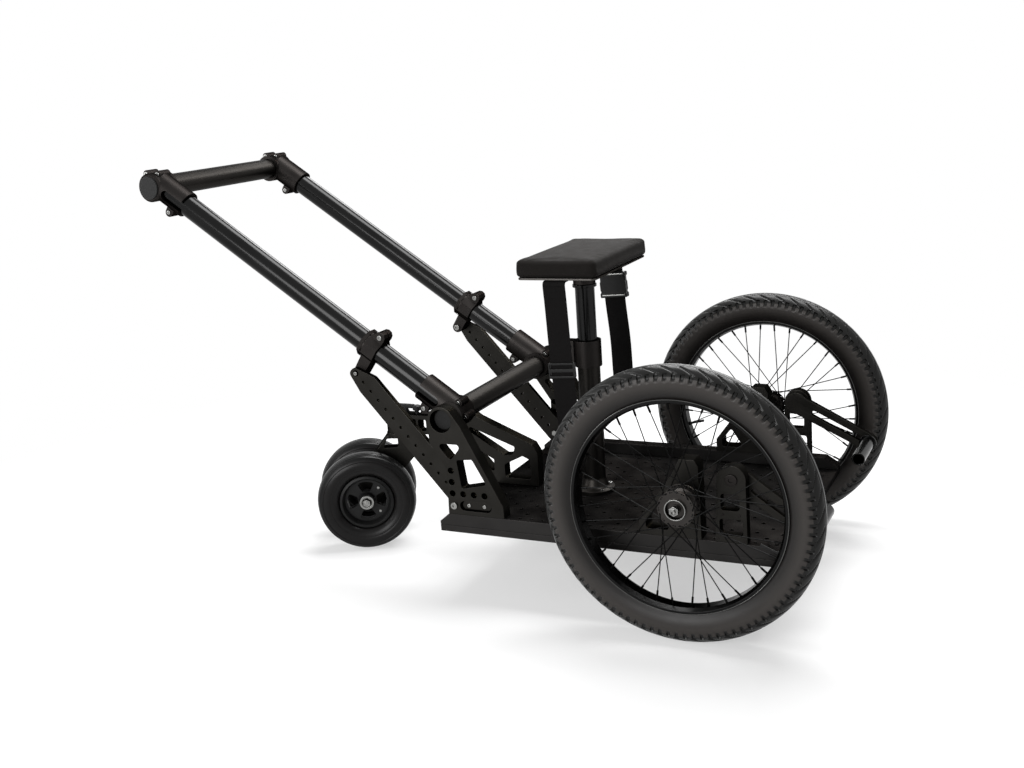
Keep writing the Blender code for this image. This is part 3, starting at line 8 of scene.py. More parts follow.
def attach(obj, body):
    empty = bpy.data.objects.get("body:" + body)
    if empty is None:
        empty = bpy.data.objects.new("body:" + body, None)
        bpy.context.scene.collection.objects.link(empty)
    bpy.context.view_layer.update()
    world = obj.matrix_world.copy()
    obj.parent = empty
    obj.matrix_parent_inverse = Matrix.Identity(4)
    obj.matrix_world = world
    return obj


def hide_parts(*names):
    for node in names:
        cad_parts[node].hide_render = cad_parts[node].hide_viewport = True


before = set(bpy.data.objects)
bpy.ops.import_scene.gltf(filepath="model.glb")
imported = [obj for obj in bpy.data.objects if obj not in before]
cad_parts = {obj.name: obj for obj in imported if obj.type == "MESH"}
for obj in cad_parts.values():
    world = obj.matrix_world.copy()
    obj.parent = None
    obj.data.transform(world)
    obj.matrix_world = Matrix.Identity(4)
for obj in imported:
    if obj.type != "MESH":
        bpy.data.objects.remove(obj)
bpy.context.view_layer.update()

# Main places of the machine, in metres and degrees, as the frame has them
layout = {
    "frameX": 0.5003447, "crossX": -0.5254, "crossZ": 0.3849, "handleRake": 34.45, "tubeRise": 0.008,
    "handleLength": 0.8662, "tubeY": 0.2213, "clampAlong": 0.2300, "casterX": -0.808,
    "casterTurn": 29.7, "postX": -0.307, "wheelY": 0.340, "axleZ": 0.271, "deckHalf": 0.285,
    "footZ": 0.1843, "floorZ": 0.1583,
}
sides = (("right", -1), ("left", 1))
gap = 0.0003
tubeRadius = 0.024
plateEdge = 0.0008      # broken edge of the milled plates
cutterEdge = 0.0001


# Places


def shift(x, y, z):
    return Matrix.Translation((x, y, z))


def turn(degrees, axis):
    return Matrix.Rotation(math.radians(degrees), 4, axis)


def outboard(side):
    return turn(90 if side < 0 else -90, "X")   # stands a shape's +Z out to that side


upright = turn(90, "X")       # stands a flat outline up on its lower edge
# by side: pieces are made for the right side, and mirrored for the left one
mirrors = {-1: Matrix.Identity(4), 1: Matrix.Scale(-1, 4, (0, 1, 0))}
baseFrame = shift(layout["frameX"], 0, 0)
handleFrame = (baseFrame @ shift(layout["crossX"], 0, layout["crossZ"])
               @ turn(layout["handleRake"], "Y"))
tubeFrame = handleFrame @ shift(0, 0, layout["tubeRise"])
clampFrame = tubeFrame @ shift(-layout["clampAlong"], 0, 0)
casterFrame = baseFrame @ shift(layout["casterX"], 0, 0) @ turn(layout["casterTurn"], "Z")
seatFrame = baseFrame @ shift(layout["postX"], 0, 0)


# Outlines


def circle(centre, radius, count, start=0.0):
    x, y = centre
    return [(x + radius * math.cos(start + math.tau * step / count),
             y + radius * math.sin(start + math.tau * step / count)) for step in range(count)]


def arc(centre, radius, start, end, steps):
    x, y = centre
    angles = [math.radians(start + (end - start) * step / steps) for step in range(steps + 1)]
    return [(x + radius * math.cos(a), y + radius * math.sin(a)) for a in angles]


def slotOutline(start, end, radius, steps=8):
    across = Vector(end) - Vector(start)
    heading = math.degrees(math.atan2(across.y, across.x))
    return (arc(start, radius, heading + 90, heading + 270, steps)
            + arc(end, radius, heading - 90, heading + 90, steps))


def box(left, right, bottom, top):
    return [(left, bottom), (right, bottom), (right, top), (left, top)]


def bothHalves(half):
    # a turned profile (radius, height) and its mirror image below, for a closed loop
    return [(r, -y) for r, y in half[::-1] if y] + half


def rounded(corners, radius, steps=6):
    radii = radius if isinstance(radius, (list, tuple)) else [radius] * len(corners)
    points = []
    for index, corner in enumerate(corners):
        here = Vector(corner)
        before = Vector(corners[index - 1]) - here
        after = Vector(corners[(index + 1) % len(corners)]) - here
        halfAngle = before.angle(after) / 2
        reach = min(radii[index] / math.tan(halfAngle), 0.49 * before.length, 0.49 * after.length)
        fillet = reach * math.tan(halfAngle)
        if fillet < 1e-5:
            points.append(tuple(here))
            continue
        bisector = (before.normalized() + after.normalized()).normalized()
        centre = here + bisector * fillet / math.sin(halfAngle)
        first = here + before.normalized() * reach - centre
        sweep = (here + after.normalized() * reach - centre).angle_signed(first)
        for step in range(steps + 1):
            ray = first.copy()
            ray.rotate(Matrix.Rotation(sweep * step / steps, 2))
            points.append(tuple(centre + ray))
    return points


# Shapes


def tidy(work, distance=1e-6):
    bmesh.ops.remove_doubles(work, verts=work.verts, dist=distance)
    bmesh.ops.recalc_face_normals(work, faces=work.faces)
    return work


def moved(work, matrix):
    bmesh.ops.transform(work, matrix=matrix, verts=work.verts)
    if matrix.determinant() < 0:
        bmesh.ops.reverse_faces(work, faces=work.faces)
    return work


def gathered(shapes):
    whole = bmesh.new()
    for shape in shapes:
        mesh = bpy.data.meshes.new("one of a group")
        shape.to_mesh(mesh)
        shape.free()
        whole.from_mesh(mesh)
        bpy.data.meshes.remove(mesh)
    return whole


def asObject(work, name):
    mesh = bpy.data.meshes.new(name)
    work.to_mesh(mesh)
    work.free()
    thing = bpy.data.objects.new(name, mesh)
    bpy.context.scene.collection.objects.link(thing)
    return thing


def currentMesh(thing):
    return bpy.data.meshes.new_from_object(thing.evaluated_get(bpy.context.evaluated_depsgraph_get()))


def evaluated(guide):
    mesh = currentMesh(guide)
    bpy.data.objects.remove(guide, do_unlink=True)
    work = bmesh.new()
    work.from_mesh(mesh)
    bpy.data.meshes.remove(mesh)
    return tidy(work)


def cutPlate(loops, thickness, edge=0.0006):
    outline = bpy.data.curves.new("outline", "CURVE")
    outline.dimensions = "2D"
    outline.fill_mode = "BOTH"
    outline.extrude = thickness / 2 - edge
    outline.bevel_depth = edge
    outline.bevel_resolution = 1
    outline.offset = -edge
    for loop in loops:
        spline = outline.splines.new("POLY")
        spline.points.add(len(loop) - 1)
        for point, (x, y) in zip(spline.points, loop):
            point.co = (x, y, 0, 1)
        spline.use_cyclic_u = True
    guide = bpy.data.objects.new("outline", outline)
    bpy.context.scene.collection.objects.link(guide)
    return evaluated(guide)


def turned(profile, steps=64, closed=False, layers=None):
    work = bmesh.new()
    marks = [(work.verts.layers.float.new(name), values) for name, values in (layers or {}).items()]
    verts = [work.verts.new((radius, 0, height)) for radius, height in profile]
    for layer, values in marks:
        for vert, value in zip(verts, values):
            vert[layer] = value
    pairs = list(zip(verts, verts[1:])) + ([(verts[-1], verts[0])] if closed else [])
    edges = [work.edges.new(pair) for pair in pairs]
    bmesh.ops.spin(work, geom=verts + edges, cent=(0, 0, 0), axis=(0, 0, 1), angle=math.tau,
                   steps=steps, use_merge=True)
    return tidy(work)


def rod(radius, bottom, top, steps=32, edge=0.0005):
    profile = [(0, top), (radius - edge, top), (radius, top - edge), (radius, bottom + edge),
               (radius - edge, bottom), (0, bottom)]
    return turned(profile, steps)


def tube(radius, wall, halfLength, steps=64, edge=0.0006):
    inner = radius - wall
    corners = [(radius, halfLength), (radius, -halfLength), (inner, -halfLength), (inner, halfLength)]
    return turned(rounded(corners, edge, 2), steps, closed=True)


def block(size, centre=(0, 0, 0), edge=0.0006):
    work = bmesh.new()
    bmesh.ops.create_cube(work, size=1)
    bmesh.ops.scale(work, vec=size, verts=work.verts)
    bmesh.ops.translate(work, vec=centre, verts=work.verts)
    if edge:
        bmesh.ops.bevel(work, geom=list(work.edges), offset=edge, offset_type="OFFSET", segments=2,
                        profile=0.5, affect="EDGES", material=-1)
    return work


def carved(work, tools):
    body = asObject(work, "body")
    helpers = []
    for operation, shape in tools:
        helper = asObject(shape, "tool")
        modifier = body.modifiers.new(operation, "BOOLEAN")
        modifier.operation = operation
        modifier.solver = "EXACT"
        modifier.object = helper
        helpers.append(helper)
    result = evaluated(body)
    for helper in helpers:
        bpy.data.objects.remove(helper, do_unlink=True)
    return result


def rodBetween(start, end, radius, steps=8):
    along = Vector(end) - Vector(start)
    work = bmesh.new()
    bmesh.ops.create_cone(work, cap_ends=True, segments=steps, radius1=radius, radius2=radius,
                          depth=along.length)
    heading = along.to_track_quat("Z", "Y").to_matrix().to_4x4()
    return moved(work, Matrix.Translation((Vector(start) + Vector(end)) / 2) @ heading)


def screwHead(radius, height, socket=0.5, steps=24):
    work = bmesh.new()
    bmesh.ops.create_cone(work, cap_ends=True, segments=steps, radius1=radius, radius2=radius,
                          depth=height)
    bmesh.ops.translate(work, vec=(0, 0, height / 2), verts=work.verts)
    rim = [e for e in work.edges if min(v.co.z for v in e.verts) > height * 0.9]
    bmesh.ops.bevel(work, geom=rim, offset=radius * 0.12, offset_type="OFFSET", segments=2,
                    profile=0.5, affect="EDGES", material=-1)
    work.normal_update()
    top = [f for f in work.faces if f.normal.z > 0.99 and len(f.verts) == steps][0]
    bmesh.ops.inset_region(work, faces=[top], thickness=radius * (0.88 - socket))
    for vert in top.verts:      # draws the opening to six flats for a key
        angle = math.atan2(vert.co.y, vert.co.x) % math.radians(60) - math.radians(30)
        reach = radius * socket * math.cos(math.radians(30)) / math.cos(angle)
        flat = Vector((vert.co.x, vert.co.y)).normalized() * reach
        vert.co = (flat.x, flat.y, vert.co.z)
    bmesh.ops.inset_region(work, faces=[top], thickness=radius * 0.03, depth=-height * 0.6)
    return work


def screwHeads(radius, height, places):
    # each place is a point, then the side that its head faces
    return gathered([moved(screwHead(radius, height), shift(x, y, z) @ outboard(side))
                     for x, y, z, side in places])


def screwRing(radius, height, reach, z, angles=(45, 135, 225, 315)):
    return [moved(screwHead(radius, height), turn(angle, "Z") @ shift(reach, 0, z)) for angle in angles]


def hexNut(radius, height, bottom=0.0):
    work = bmesh.new()
    bmesh.ops.create_cone(work, cap_ends=True, segments=6, radius1=radius, radius2=radius, depth=height)
    bmesh.ops.translate(work, vec=(0, 0, bottom + height / 2), verts=work.verts)
    bmesh.ops.bevel(work, geom=list(work.edges), offset=radius * 0.06, offset_type="OFFSET",
                    segments=2, profile=0.5, affect="EDGES", material=-1)
    return work


# Materials


def colour(code):
    values = [int(code[place:place + 2], 16) / 255 for place in (1, 3, 5)]
    linear = [v / 12.92 if v <= 0.04045 else ((v + 0.055) / 1.055) ** 2.4 for v in values]
    return (*linear, 1)


def addNode(tree, kind, settings=None, links=None):
    node = tree.nodes.new(kind)
    for key, value in (settings or {}).items():
        if isinstance(key, str) and hasattr(node, key):
            setattr(node, key, value)
        else:
            node.inputs[key].default_value = value
    for key, source in (links or {}).items():
        tree.links.new(source, node.inputs[key])
    return node


def surface(name, colours, roughness, cloud, grain, bump, shader):
    # cloud and grain are the sizes of the patches and of the fine grain; bump is its strength and height
    material = bpy.data.materials.new(name)
    material.use_nodes = True
    tree = material.node_tree
    principled = tree.nodes["Principled BSDF"]
    for socket, value in shader.items():
        principled.inputs[socket].default_value = value
    place = addNode(tree, "ShaderNodeTexCoord").outputs["Object"]
    patches, fine = (addNode(tree, "ShaderNodeTexNoise", {"Scale": 1 / size, "Detail": detail},
                             {"Vector": place}).outputs["Fac"]
                     for size, detail in ((cloud, 3.0), (grain, 2.0)))
    rough = addNode(tree, "ShaderNodeMapRange", {"From Min": 0.3, "From Max": 0.7, "To Min": roughness[0],
                                                 "To Max": roughness[1]}, {"Value": patches})
    first, second = (colour(code) for code in colours)
    tint = addNode(tree, "ShaderNodeMix", {"data_type": "RGBA", 6: first, 7: second}, {0: patches})
    relief = addNode(tree, "ShaderNodeBump", {"Strength": bump[0], "Distance": bump[1]}, {"Height": fine})
    for output, socket in ((rough.outputs["Result"], "Roughness"), (tint.outputs[2], "Base Color"),
                           (relief.outputs["Normal"], "Normal")):
        tree.links.new(output, principled.inputs[socket])
    return material


def metal(edgeTint="#ffffff"):
    return {"Metallic": 1.0, "Specular Tint": colour(edgeTint)}


def tyreRubber(material, wallHighlightColour, shadedTreadColour, treadRoughness):
    # lays a painted highlight colour on the wall's middle band, and a painted shade colour on the tread and
    # in its grooves, where the tread is also made smoother
    tree = material.node_tree
    principled = tree.nodes["Principled BSDF"]
    tread, paintedHighlight = (addNode(tree, "ShaderNodeAttribute", {"attribute_name": name}).outputs["Fac"]
                    for name in ("tread", "paintedHighlight"))
    base, rough = principled.inputs["Base Color"], principled.inputs["Roughness"]
    wall = base.links[0].from_socket
    # first a painted highlight on the wall's middle band, then painted shade on the tread and its grooves
    for share, code in ((paintedHighlight, wallHighlightColour), (tread, shadedTreadColour)):
        wall = addNode(tree, "ShaderNodeMix", {"data_type": "RGBA", 7: colour(code)},
                       {0: share, 6: wall}).outputs[2]
    tree.links.new(wall, base)
    dull = addNode(tree, "ShaderNodeMix", {"data_type": "FLOAT", 3: treadRoughness},
                   {0: tread, 2: rough.links[0].from_socket})
    tree.links.new(dull.outputs[0], rough)
    return material


def wovenCloth(material, axes, pitch, weave, threadHeight):
    tree = material.node_tree
    place = tree.nodes["Texture Coordinate"].outputs["Object"]
    height = None
    for axis in axes:
        wave = addNode(tree, "ShaderNodeTexWave", {
            "wave_type": "BANDS", "bands_direction": axis, "Scale": math.tau / 20 / pitch,
            "Distortion": 0.4, "Detail": 1.0, "Detail Scale": 2.0}, {"Vector": place}).outputs["Fac"]
        height = wave if height is None else addNode(
            tree, "ShaderNodeMath", {"operation": "MAXIMUM"}, {0: height, 1: wave}).outputs[0]
    bump = addNode(tree, "ShaderNodeBump", {"Strength": weave, "Distance": threadHeight},
                   {"Height": height, "Normal": tree.nodes["Bump"].outputs["Normal"]})
    tree.links.new(bump.outputs["Normal"], tree.nodes["Principled BSDF"].inputs["Normal"])
    return material


# Each finish: its material, then the part's slot that it fills
finishes = {
    # milled plate, dyed black: satin, dark all over, a soft grey sheen where it faces a light
    "plate": (surface("black anodised milled aluminium", ("#22211f", "#2b2a28"), (0.36, 0.46), 0.05,
                      0.0012, (0.02, 0.0002), metal("#707070")), "anodised_plate"),
    # rolled plate and rails of the deck: a shade paler than the milled plates
    "deck": (surface("black anodised deck plate", ("#282727", "#302f2e"), (0.36, 0.46), 0.05, 0.0012,
                     (0.02, 0.0002), metal("#707070")), "anodised_plate"),
    # drawn tube, polished before it was dyed: long sharp streaks of light
    "tube": (surface("polished black anodised tube", ("#212121", "#262626"), (0.17, 0.22), 0.08, 0.002,
                     (0.0, 0.0002), metal("#e6e6e6")), "gloss_black_tube"),
    # tube with a matt coat: one broad soft streak
    "mattTube": (surface("matt black coated tube", ("#21201f", "#272523"), (0.34, 0.41), 0.05, 0.0012,
                         (0.02, 0.0002), metal("#c0c0c0")), "matte_black_tube"),
    # cast and bead-blasted fitting: finer grain and a duller sheen than the plates
    "cast": (surface("blasted black anodised casting", ("#232120", "#2b2928"), (0.40, 0.50), 0.03, 0.0009,
                     (0.05, 0.0003), metal("#707070")), "cast_fitting"),
    # moulded nylon: an even black with a low, soft shine
    "nylon": (surface("moulded black nylon", ("#121212", "#171717"), (0.38, 0.48), 0.02, 0.0008,
                      (0.04, 0.0003), {"Specular IOR Level": 0.15}), "black_nylon"),
    # extruded rim, anodised: semi-gloss
    "rim": (surface("black anodised extruded rim", ("#1c1c1c", "#212121"), (0.20, 0.26), 0.04, 0.002,
                    (0.0, 0.0002), metal("#e0e0e0")), "black_rim"),
    # rim lip: a thin paler line, a painted highlight along the lip's rounded edge
    "lip": (surface("painted rim lip highlight", ("#4c4c4b", "#575756"), (0.24, 0.30), 0.04, 0.002, (0.0, 0.0002),
                    metal()), "black_rim"),
    # hub shell, machined and dyed: its flanges catch a little more light than the spokes
    "hub": (surface("machined black hub shell", ("#2f2d2c", "#3a3836"), (0.34, 0.42), 0.03, 0.001,
                    (0.0, 0.0002), metal("#707070")), "black_rim"),
    # steel spoke, blackened with oxide: dark at every angle
    "spoke": (surface("black oxide steel spoke", ("#131313", "#171717"), (0.34, 0.42), 0.04, 0.002,
                      (0.0, 0.0002), metal("#606060")), "black_rim"),
    # zinc-plated steel: bright, with faint cloudy patches
    "zinc": (surface("zinc plated steel", ("#7c7c7a", "#929290"), (0.20, 0.30), 0.008, 0.001,
                     (0.0, 0.0002), metal()), "zinc_steel"),
    # sheared aluminium sheet, dyed dark: only its thin edge shows
    "bare": (surface("sheared aluminium sheet", ("#403e3c", "#494745"), (0.36, 0.46), 0.03, 0.001,
                     (0.0, 0.0002), metal("#8a8a8a")), "seat_plate"),
    # moulded tyre, cured in a steel mould: dull wall lightened by a painted grey highlight band, smooth tread
    # darkened by painted shade
    "rubber": (tyreRubber(surface("vulcanised tyre rubber", ("#12100f", "#181615"), (0.36, 0.43), 0.03,
                                  0.0010, (0.06, 0.0003), {"Specular IOR Level": 0.20}),
                          "#302d2b", "#0b0b0a", 0.32), "tyre_rubber"),
    # caster tyre, a harder rubber with no painted wall highlight: blacker, with a tighter sheen, and painted
    # shade a touch darker on its tread
    "casterRubber": (tyreRubber(surface("vulcanised caster rubber", ("#0c0b0b", "#121111"), (0.28, 0.35),
                                        0.03, 0.0010, (0.04, 0.0003), {"Specular IOR Level": 0.14}),
                                "#121111", "#0b0b0b", 0.30), "tyre_rubber"),
    # close-woven polyester: dull brown-black; its 0.6 mm threads are drawn at 1.4 mm to show
    "cover": (wovenCloth(surface("woven polyester seat cover", ("#110f0e", "#171513"), (0.82, 0.92), 0.02,
                                 0.0010, (0.12, 0.0003), {"Specular IOR Level": 0.10}),
                         "XY", 0.0014, 0.35, 0.0002), "seat_cover"),
    # nylon webbing: tight ribs across the strap, drawn at 2 mm so that they show
    "webbing": (wovenCloth(surface("woven nylon webbing", ("#0c0b0b", "#121111"), (0.62, 0.75), 0.01,
                                   0.0008, (0.15, 0.0003), {"Specular IOR Level": 0.04}),
                           "Z", 0.0020, 0.6, 0.0004), "webbing"),
}


def addPiece(name, work, finish, body, matrix=None, replaced=(), sharp=32):
    if matrix is not None:
        moved(work, matrix)
    piece = asObject(work, name)
    material, slotName = finishes[finish]
    piece.data.materials.clear()
    piece.data.materials.append(material)
    piece.data.shade_smooth()
    piece.data.set_sharp_from_angle(angle=math.radians(sharp))
    if len(piece.data.polygons) < 60000:
        even = piece.modifiers.new("even shading", "WEIGHTED_NORMAL")
        even.keep_sharp = True
    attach(piece, body)
    if replaced:
        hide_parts(*replaced)
    return piece


print("materials are made")


# Seat cushion

seatShape = {
    "length": 0.183, "width": 0.316, "top": 0.703, "thickness": 0.042, "plate": 0.004, "inset": 0.006,
    "plateCorner": 0.010, "start": 0.0018, "corner": 0.012, "edge": 0.0065, "voxel": 0.004,
    "crown": 0.0040, "taper": 0.012, "pinned": 0.006, "pressure": 4, "frames": 20, "swell": 0.0020,
}
seatBottom = seatShape["top"] - seatShape["thickness"]
plateTop = seatBottom - gap
plateBottom = plateTop - seatShape["plate"]


def stuffed(work, shape):
    # pressure swells the cover off its board, by no more than the named reach
    pad = asObject(work, "padded_seat")
    verts = pad.data.vertices
    rest = [vert.co.copy() for vert in verts]
    pinned = pad.vertex_groups.new(name="on the board")
    pinned.add([vert.index for vert in verts if vert.co.z < shape["pinned"]], 1.0, "REPLACE")
    cloth = pad.modifiers.new("stuffing", "CLOTH")
    cloth.settings.use_pressure = True
    cloth.settings.uniform_pressure_force = shape["pressure"]
    cloth.settings.vertex_group_mass = pinned.name
    cloth.settings.effector_weights.gravity = 0
    cloth.point_cache.frame_start = 1
    cloth.point_cache.frame_end = shape["frames"]
    for step in range(1, shape["frames"] + 1):
        bpy.context.scene.frame_set(step)
    swollen = currentMesh(pad)
    pushes = [vert.co - place for vert, place in zip(swollen.vertices, rest)]
    work = bmesh.new()
    work.from_mesh(pad.data)
    for vert, place, push in zip(work.verts, rest, pushes):
        reach = push.length
        vert.co = place + push * (min(reach, shape["swell"]) / reach if reach > 0 else 0)
    bpy.data.meshes.remove(swollen)
    bpy.data.objects.remove(pad, do_unlink=True)
    bpy.context.scene.frame_set(1)
    return work


def seatCushion(shape):
    inset = shape["start"]
    halfX, halfY = shape["length"] / 2 - inset, shape["width"] / 2 - inset
    height = shape["thickness"] - inset - shape["crown"]
    work = cutPlate([rounded(box(-halfX, halfX, -halfY, halfY), shape["corner"])], height, shape["edge"])
    pad = asObject(moved(work, shift(0, 0, height / 2)), "padded_seat")
    remesh = pad.modifiers.new("even mesh", "REMESH")
    remesh.mode = "VOXEL"
    remesh.voxel_size = shape["voxel"]
    work = evaluated(pad)
    for vert in work.verts:     # crowns the top and draws the sides in towards the board
        x, y, z = vert.co
        bulge = (1 - (x / halfX) ** 2) * (1 - (y / halfY) ** 2)
        drawn = 1 - shape["taper"] * (1 - z / height) ** 2
        vert.co = (x * drawn, y * drawn, z + shape["crown"] * max(bulge, 0) * min(z / height, 1))
    work = stuffed(work, shape)
    halfX, halfY = shape["length"] / 2, shape["width"] / 2
    for vert in work.verts:     # keeps it on the board and inside the part's cushion
        x, y, z = vert.co
        top = shape["thickness"] - 0.0002 if z > shape["thickness"] / 2 else z
        vert.co = (max(-halfX, min(halfX, x)), max(-halfY, min(halfY, y)), max(min(z, top), gap))
    bmesh.ops.smooth_vert(work, verts=work.verts, factor=0.5, use_axis_x=True, use_axis_y=True,
                          use_axis_z=True)
    cushion = addPiece("padded_seat_cushion", work, "cover", "seat", seatFrame @ shift(0, 0, seatBottom),
                       ["seat_pad"], 180)
    finer = cushion.modifiers.new("finer", "SUBSURF")
    finer.levels = 1
    finer.render_levels = 1


seatCushion(seatShape)
print("cushion is made")


# Big wheels

tyreShape = {
    # across the tyre, then from the axle: crown, shoulder, wall and bead
    "half": ((0.0, 0.2710), (0.0060, 0.2706), (0.0140, 0.2668), (0.0212, 0.2598), (0.0258, 0.2522),
             (0.0275, 0.2445), (0.0272, 0.2370), (0.0257, 0.2280), (0.0224, 0.2190),
             (0.0190, 0.2130), (0.0177, 0.2100)),
    "bead": (0.0160, 0.2034), "treadSpans": 4, "rowsOnTread": 5, "rowsOnWall": 2, "steps": 960,
    "teeth": 96, "toothGap": 0.40, "toothDepth": 0.0030, "toothFrom": 0.76, "toothTo": 1.16,
    "sipes": 48, "sipeWidth": 0.13, "sipeDepth": 0.0020, "sipeFrom": 0.20, "sipeTo": 0.80,
    "sipeSlant": 1.7, "ribGroove": (0.10, 0.20), "ribDepth": 0.0012,
    # how far across the wall the painted highlight band reaches, and the span it fades over
    "highlightTo": 2.05, "highlightFade": 0.60,
}


def smoothed(points, counts):
    rows = []
    for index, count in enumerate(counts):
        a, b, c, d = (Vector(points[max(0, min(len(points) - 1, index + k))]) for k in (-1, 0, 1, 2))
        for step in range(count):
            t = step / count
            rows.append(0.5 * (2 * b + (c - a) * t + (2 * a - 5 * b + 4 * c - d) * t * t
                               + (3 * b - a - 3 * c + d) * t ** 3))
    rows.append(Vector(points[-1]))
    return rows


def grooveDepth(shape, s, around, side):
    reach = abs(s)
    depth = 0.0
    tooth = (around * shape["teeth"] + (0.5 if side > 0 else 0)) % 1
    if shape["toothFrom"] < reach < shape["toothTo"] and tooth < shape["toothGap"]:
        depth = shape["toothDepth"]
    sipe = (around * shape["sipes"] + side * shape["sipeSlant"] * reach) % 1
    if shape["sipeFrom"] < reach < shape["sipeTo"] and sipe < shape["sipeWidth"]:
        depth = max(depth, shape["sipeDepth"])
    low, high = shape["ribGroove"]
    if low < reach < high:
        depth = max(depth, shape["ribDepth"])
    return depth


def treadedTyre(shape):
    treadSpans, wallSpans = shape["treadSpans"], len(shape["half"]) - 1 - shape["treadSpans"]
    half = smoothed(shape["half"], [shape["rowsOnTread"]] * treadSpans + [shape["rowsOnWall"]] * wallSpans)
    lengths = [0.0]
    for a, b in zip(half, half[1:]):
        lengths.append(lengths[-1] + (b - a).length)
    edge = lengths[treadSpans * shape["rowsOnTread"]]
    share = [length / edge for length in lengths]
    across, radius = shape["bead"]
    profile = bothHalves([(p.y, p.x) for p in half] + [(radius, across)])
    values = share + [9.0]      # the bead lies far outside the tread and the painted highlight band
    values = [-v for v in values[:0:-1]] + values
    work = turned(profile, shape["steps"], closed=True, layers={"across": values})
    sAcross = work.verts.layers.float["across"]
    tread = work.verts.layers.float.new("tread")
    paintedHighlight = work.verts.layers.float.new("paintedHighlight")
    work.normal_update()
    pushes = []
    for vert in work.verts:
        s = vert[sAcross]
        around = math.atan2(vert.co.y, vert.co.x) / math.tau + 1
        depth = grooveDepth(shape, s, around + 1e-4, 1 if s > 0 else -1)
        # 1 on the tread and in every groove: painted shade darkens the colour there, and the tread is made
        #                                     smoother
        vert[tread] = 1.0 if abs(s) < 1.0 or depth > 0 else 0.0
        # the painted highlight band across the wall's middle, fading out towards the bead
        vert[paintedHighlight] = max(0.0, min(1.0, (shape["highlightTo"] - abs(s)) / shape["highlightFade"]))
        if depth:
            pushes.append((vert, vert.normal.copy() * -depth))
    for vert, push in pushes:
        vert.co += push
    return work


# lipRadius and turned size the paler lip rings, a painted highlight; turned is their inset from the lip's
# corner
rimShape = {"lip": 0.2095, "half": 0.021, "lipWidth": 0.0025, "seat": 0.203, "wall": 0.2035,
            "bed": 0.199, "bedShare": 0.55, "edge": 0.0009, "steps": 144, "turned": 0.0004,
            "lipRadius": 0.0009}


def rimSection(shape):
    lip, half, inside = shape["lip"], shape["half"], shape["half"] - shape["lipWidth"]
    halfBed = half * shape["bedShare"]
    corners = [(lip, half), (shape["wall"], half), (shape["bed"], halfBed), (shape["bed"], -halfBed),
               (shape["wall"], -half), (lip, -half), (lip, -inside), (shape["seat"], -inside + 0.002),
               (shape["seat"], inside - 0.002), (lip, inside)]
    return turned(rounded(corners[::-1], shape["edge"], 3), shape["steps"], closed=True)


# thin paler rings along both lips: a painted highlight
def lipHighlightRings(shape):
    rings = [circle((shape["lip"] - shape["turned"], way * (shape["half"] - shape["turned"])),
                    shape["lipRadius"], 10) for way in (-1, 1)]
    return gathered([turned(ring, shape["steps"], closed=True) for ring in rings])


spokeShape = {"perFlange": 18, "radius": 0.0011, "lean": 62, "flangeStep": 0.0042, "hubRadius": 0.033,
              "flangeY": 0.0195, "rimRadius": 0.1978, "nippleLength": 0.013, "nippleRadius": 0.0021,
              "dish": 0.004}


def onCircle(radius, angle, height):
    return Vector((radius * math.cos(angle), radius * math.sin(angle), height))


def spokeEnds(shape):
    pitch = math.tau / shape["perFlange"]
    for flange in (-1, 1):
        for index in range(shape["perFlange"]):
            way = 1 if index % 2 else -1        # spokes lean and sit on the flange's faces in turn
            angle = (index + 0.25 * flange) * pitch
            face = shape["flangeStep"] / 2 * way
            root = onCircle(shape["hubRadius"], angle - way * math.radians(shape["lean"]),
                            flange * shape["flangeY"] + face)
            yield root, onCircle(shape["rimRadius"], angle, flange * shape["dish"] + face), -face


def spokes(shape):
    parts = []
    for root, end, inward in spokeEnds(shape):
        along = (end - root).normalized()
        through = Vector((0, 0, inward))
        parts += [rodBetween(root, end, shape["radius"]),
                  rodBetween(end - along * shape["nippleLength"], end + along * 0.001,
                             shape["nippleRadius"], 10),
                  rodBetween(root - through * 0.1, root + through * 1.9, shape["radius"] * 1.5)]
    return gathered(parts)


hubShape = {"bore": 0.0079, "barrel": 0.017, "flange": 0.036, "flangeWidth": 0.0032, "flangeFoot": 0.028,
            "flangeBore": 0.0275, "holeRadius": 0.0013, "half": 0.027, "shellEnd": 0.0183,
            "cup": 0.0180, "cupDepth": 0.009, "ring": (0.0185, 0.0205), "ringLength": 0.0055, "steps": 72}


def hubBody(shape):
    inner = spokeShape["flangeY"] - shape["flangeWidth"] / 2
    outer, end = inner + shape["flangeWidth"], shape["half"] - 0.001
    cupFloor = shape["half"] - shape["cupDepth"]
    barrel = turned(bothHalves([
        (shape["bore"], cupFloor), (shape["cup"], cupFloor), (shape["cup"], end), (shape["shellEnd"], end),
        (shape["shellEnd"], outer), (shape["flangeFoot"], outer), (shape["flangeFoot"], inner),
        (shape["barrel"], inner - 0.004)]), shape["steps"], closed=True)
    count = spokeShape["perFlange"]
    loops = [circle((0, 0), shape["flange"], shape["steps"]), circle((0, 0), shape["flangeBore"], 48)]
    loops += [circle(onCircle(spokeShape["hubRadius"], math.tau * k / count, 0).xy, shape["holeRadius"], 8)
              for k in range(count)]
    flanges = [moved(cutPlate(loops, shape["flangeWidth"], 0.0004), shift(0, 0, way * spokeShape["flangeY"]))
               for way in (-1, 1)]
    return gathered([barrel] + flanges)


def hubRing(shape):
    inside, outside = shape["ring"]
    top, bottom = shape["half"], shape["half"] - shape["ringLength"]
    corners = [(outside, top), (outside, bottom), (inside, bottom), (inside, top - 0.0005),
               (inside + 0.0004, top)]
    return turned(rounded(corners, 0.0004, 2), shape["steps"], closed=True)


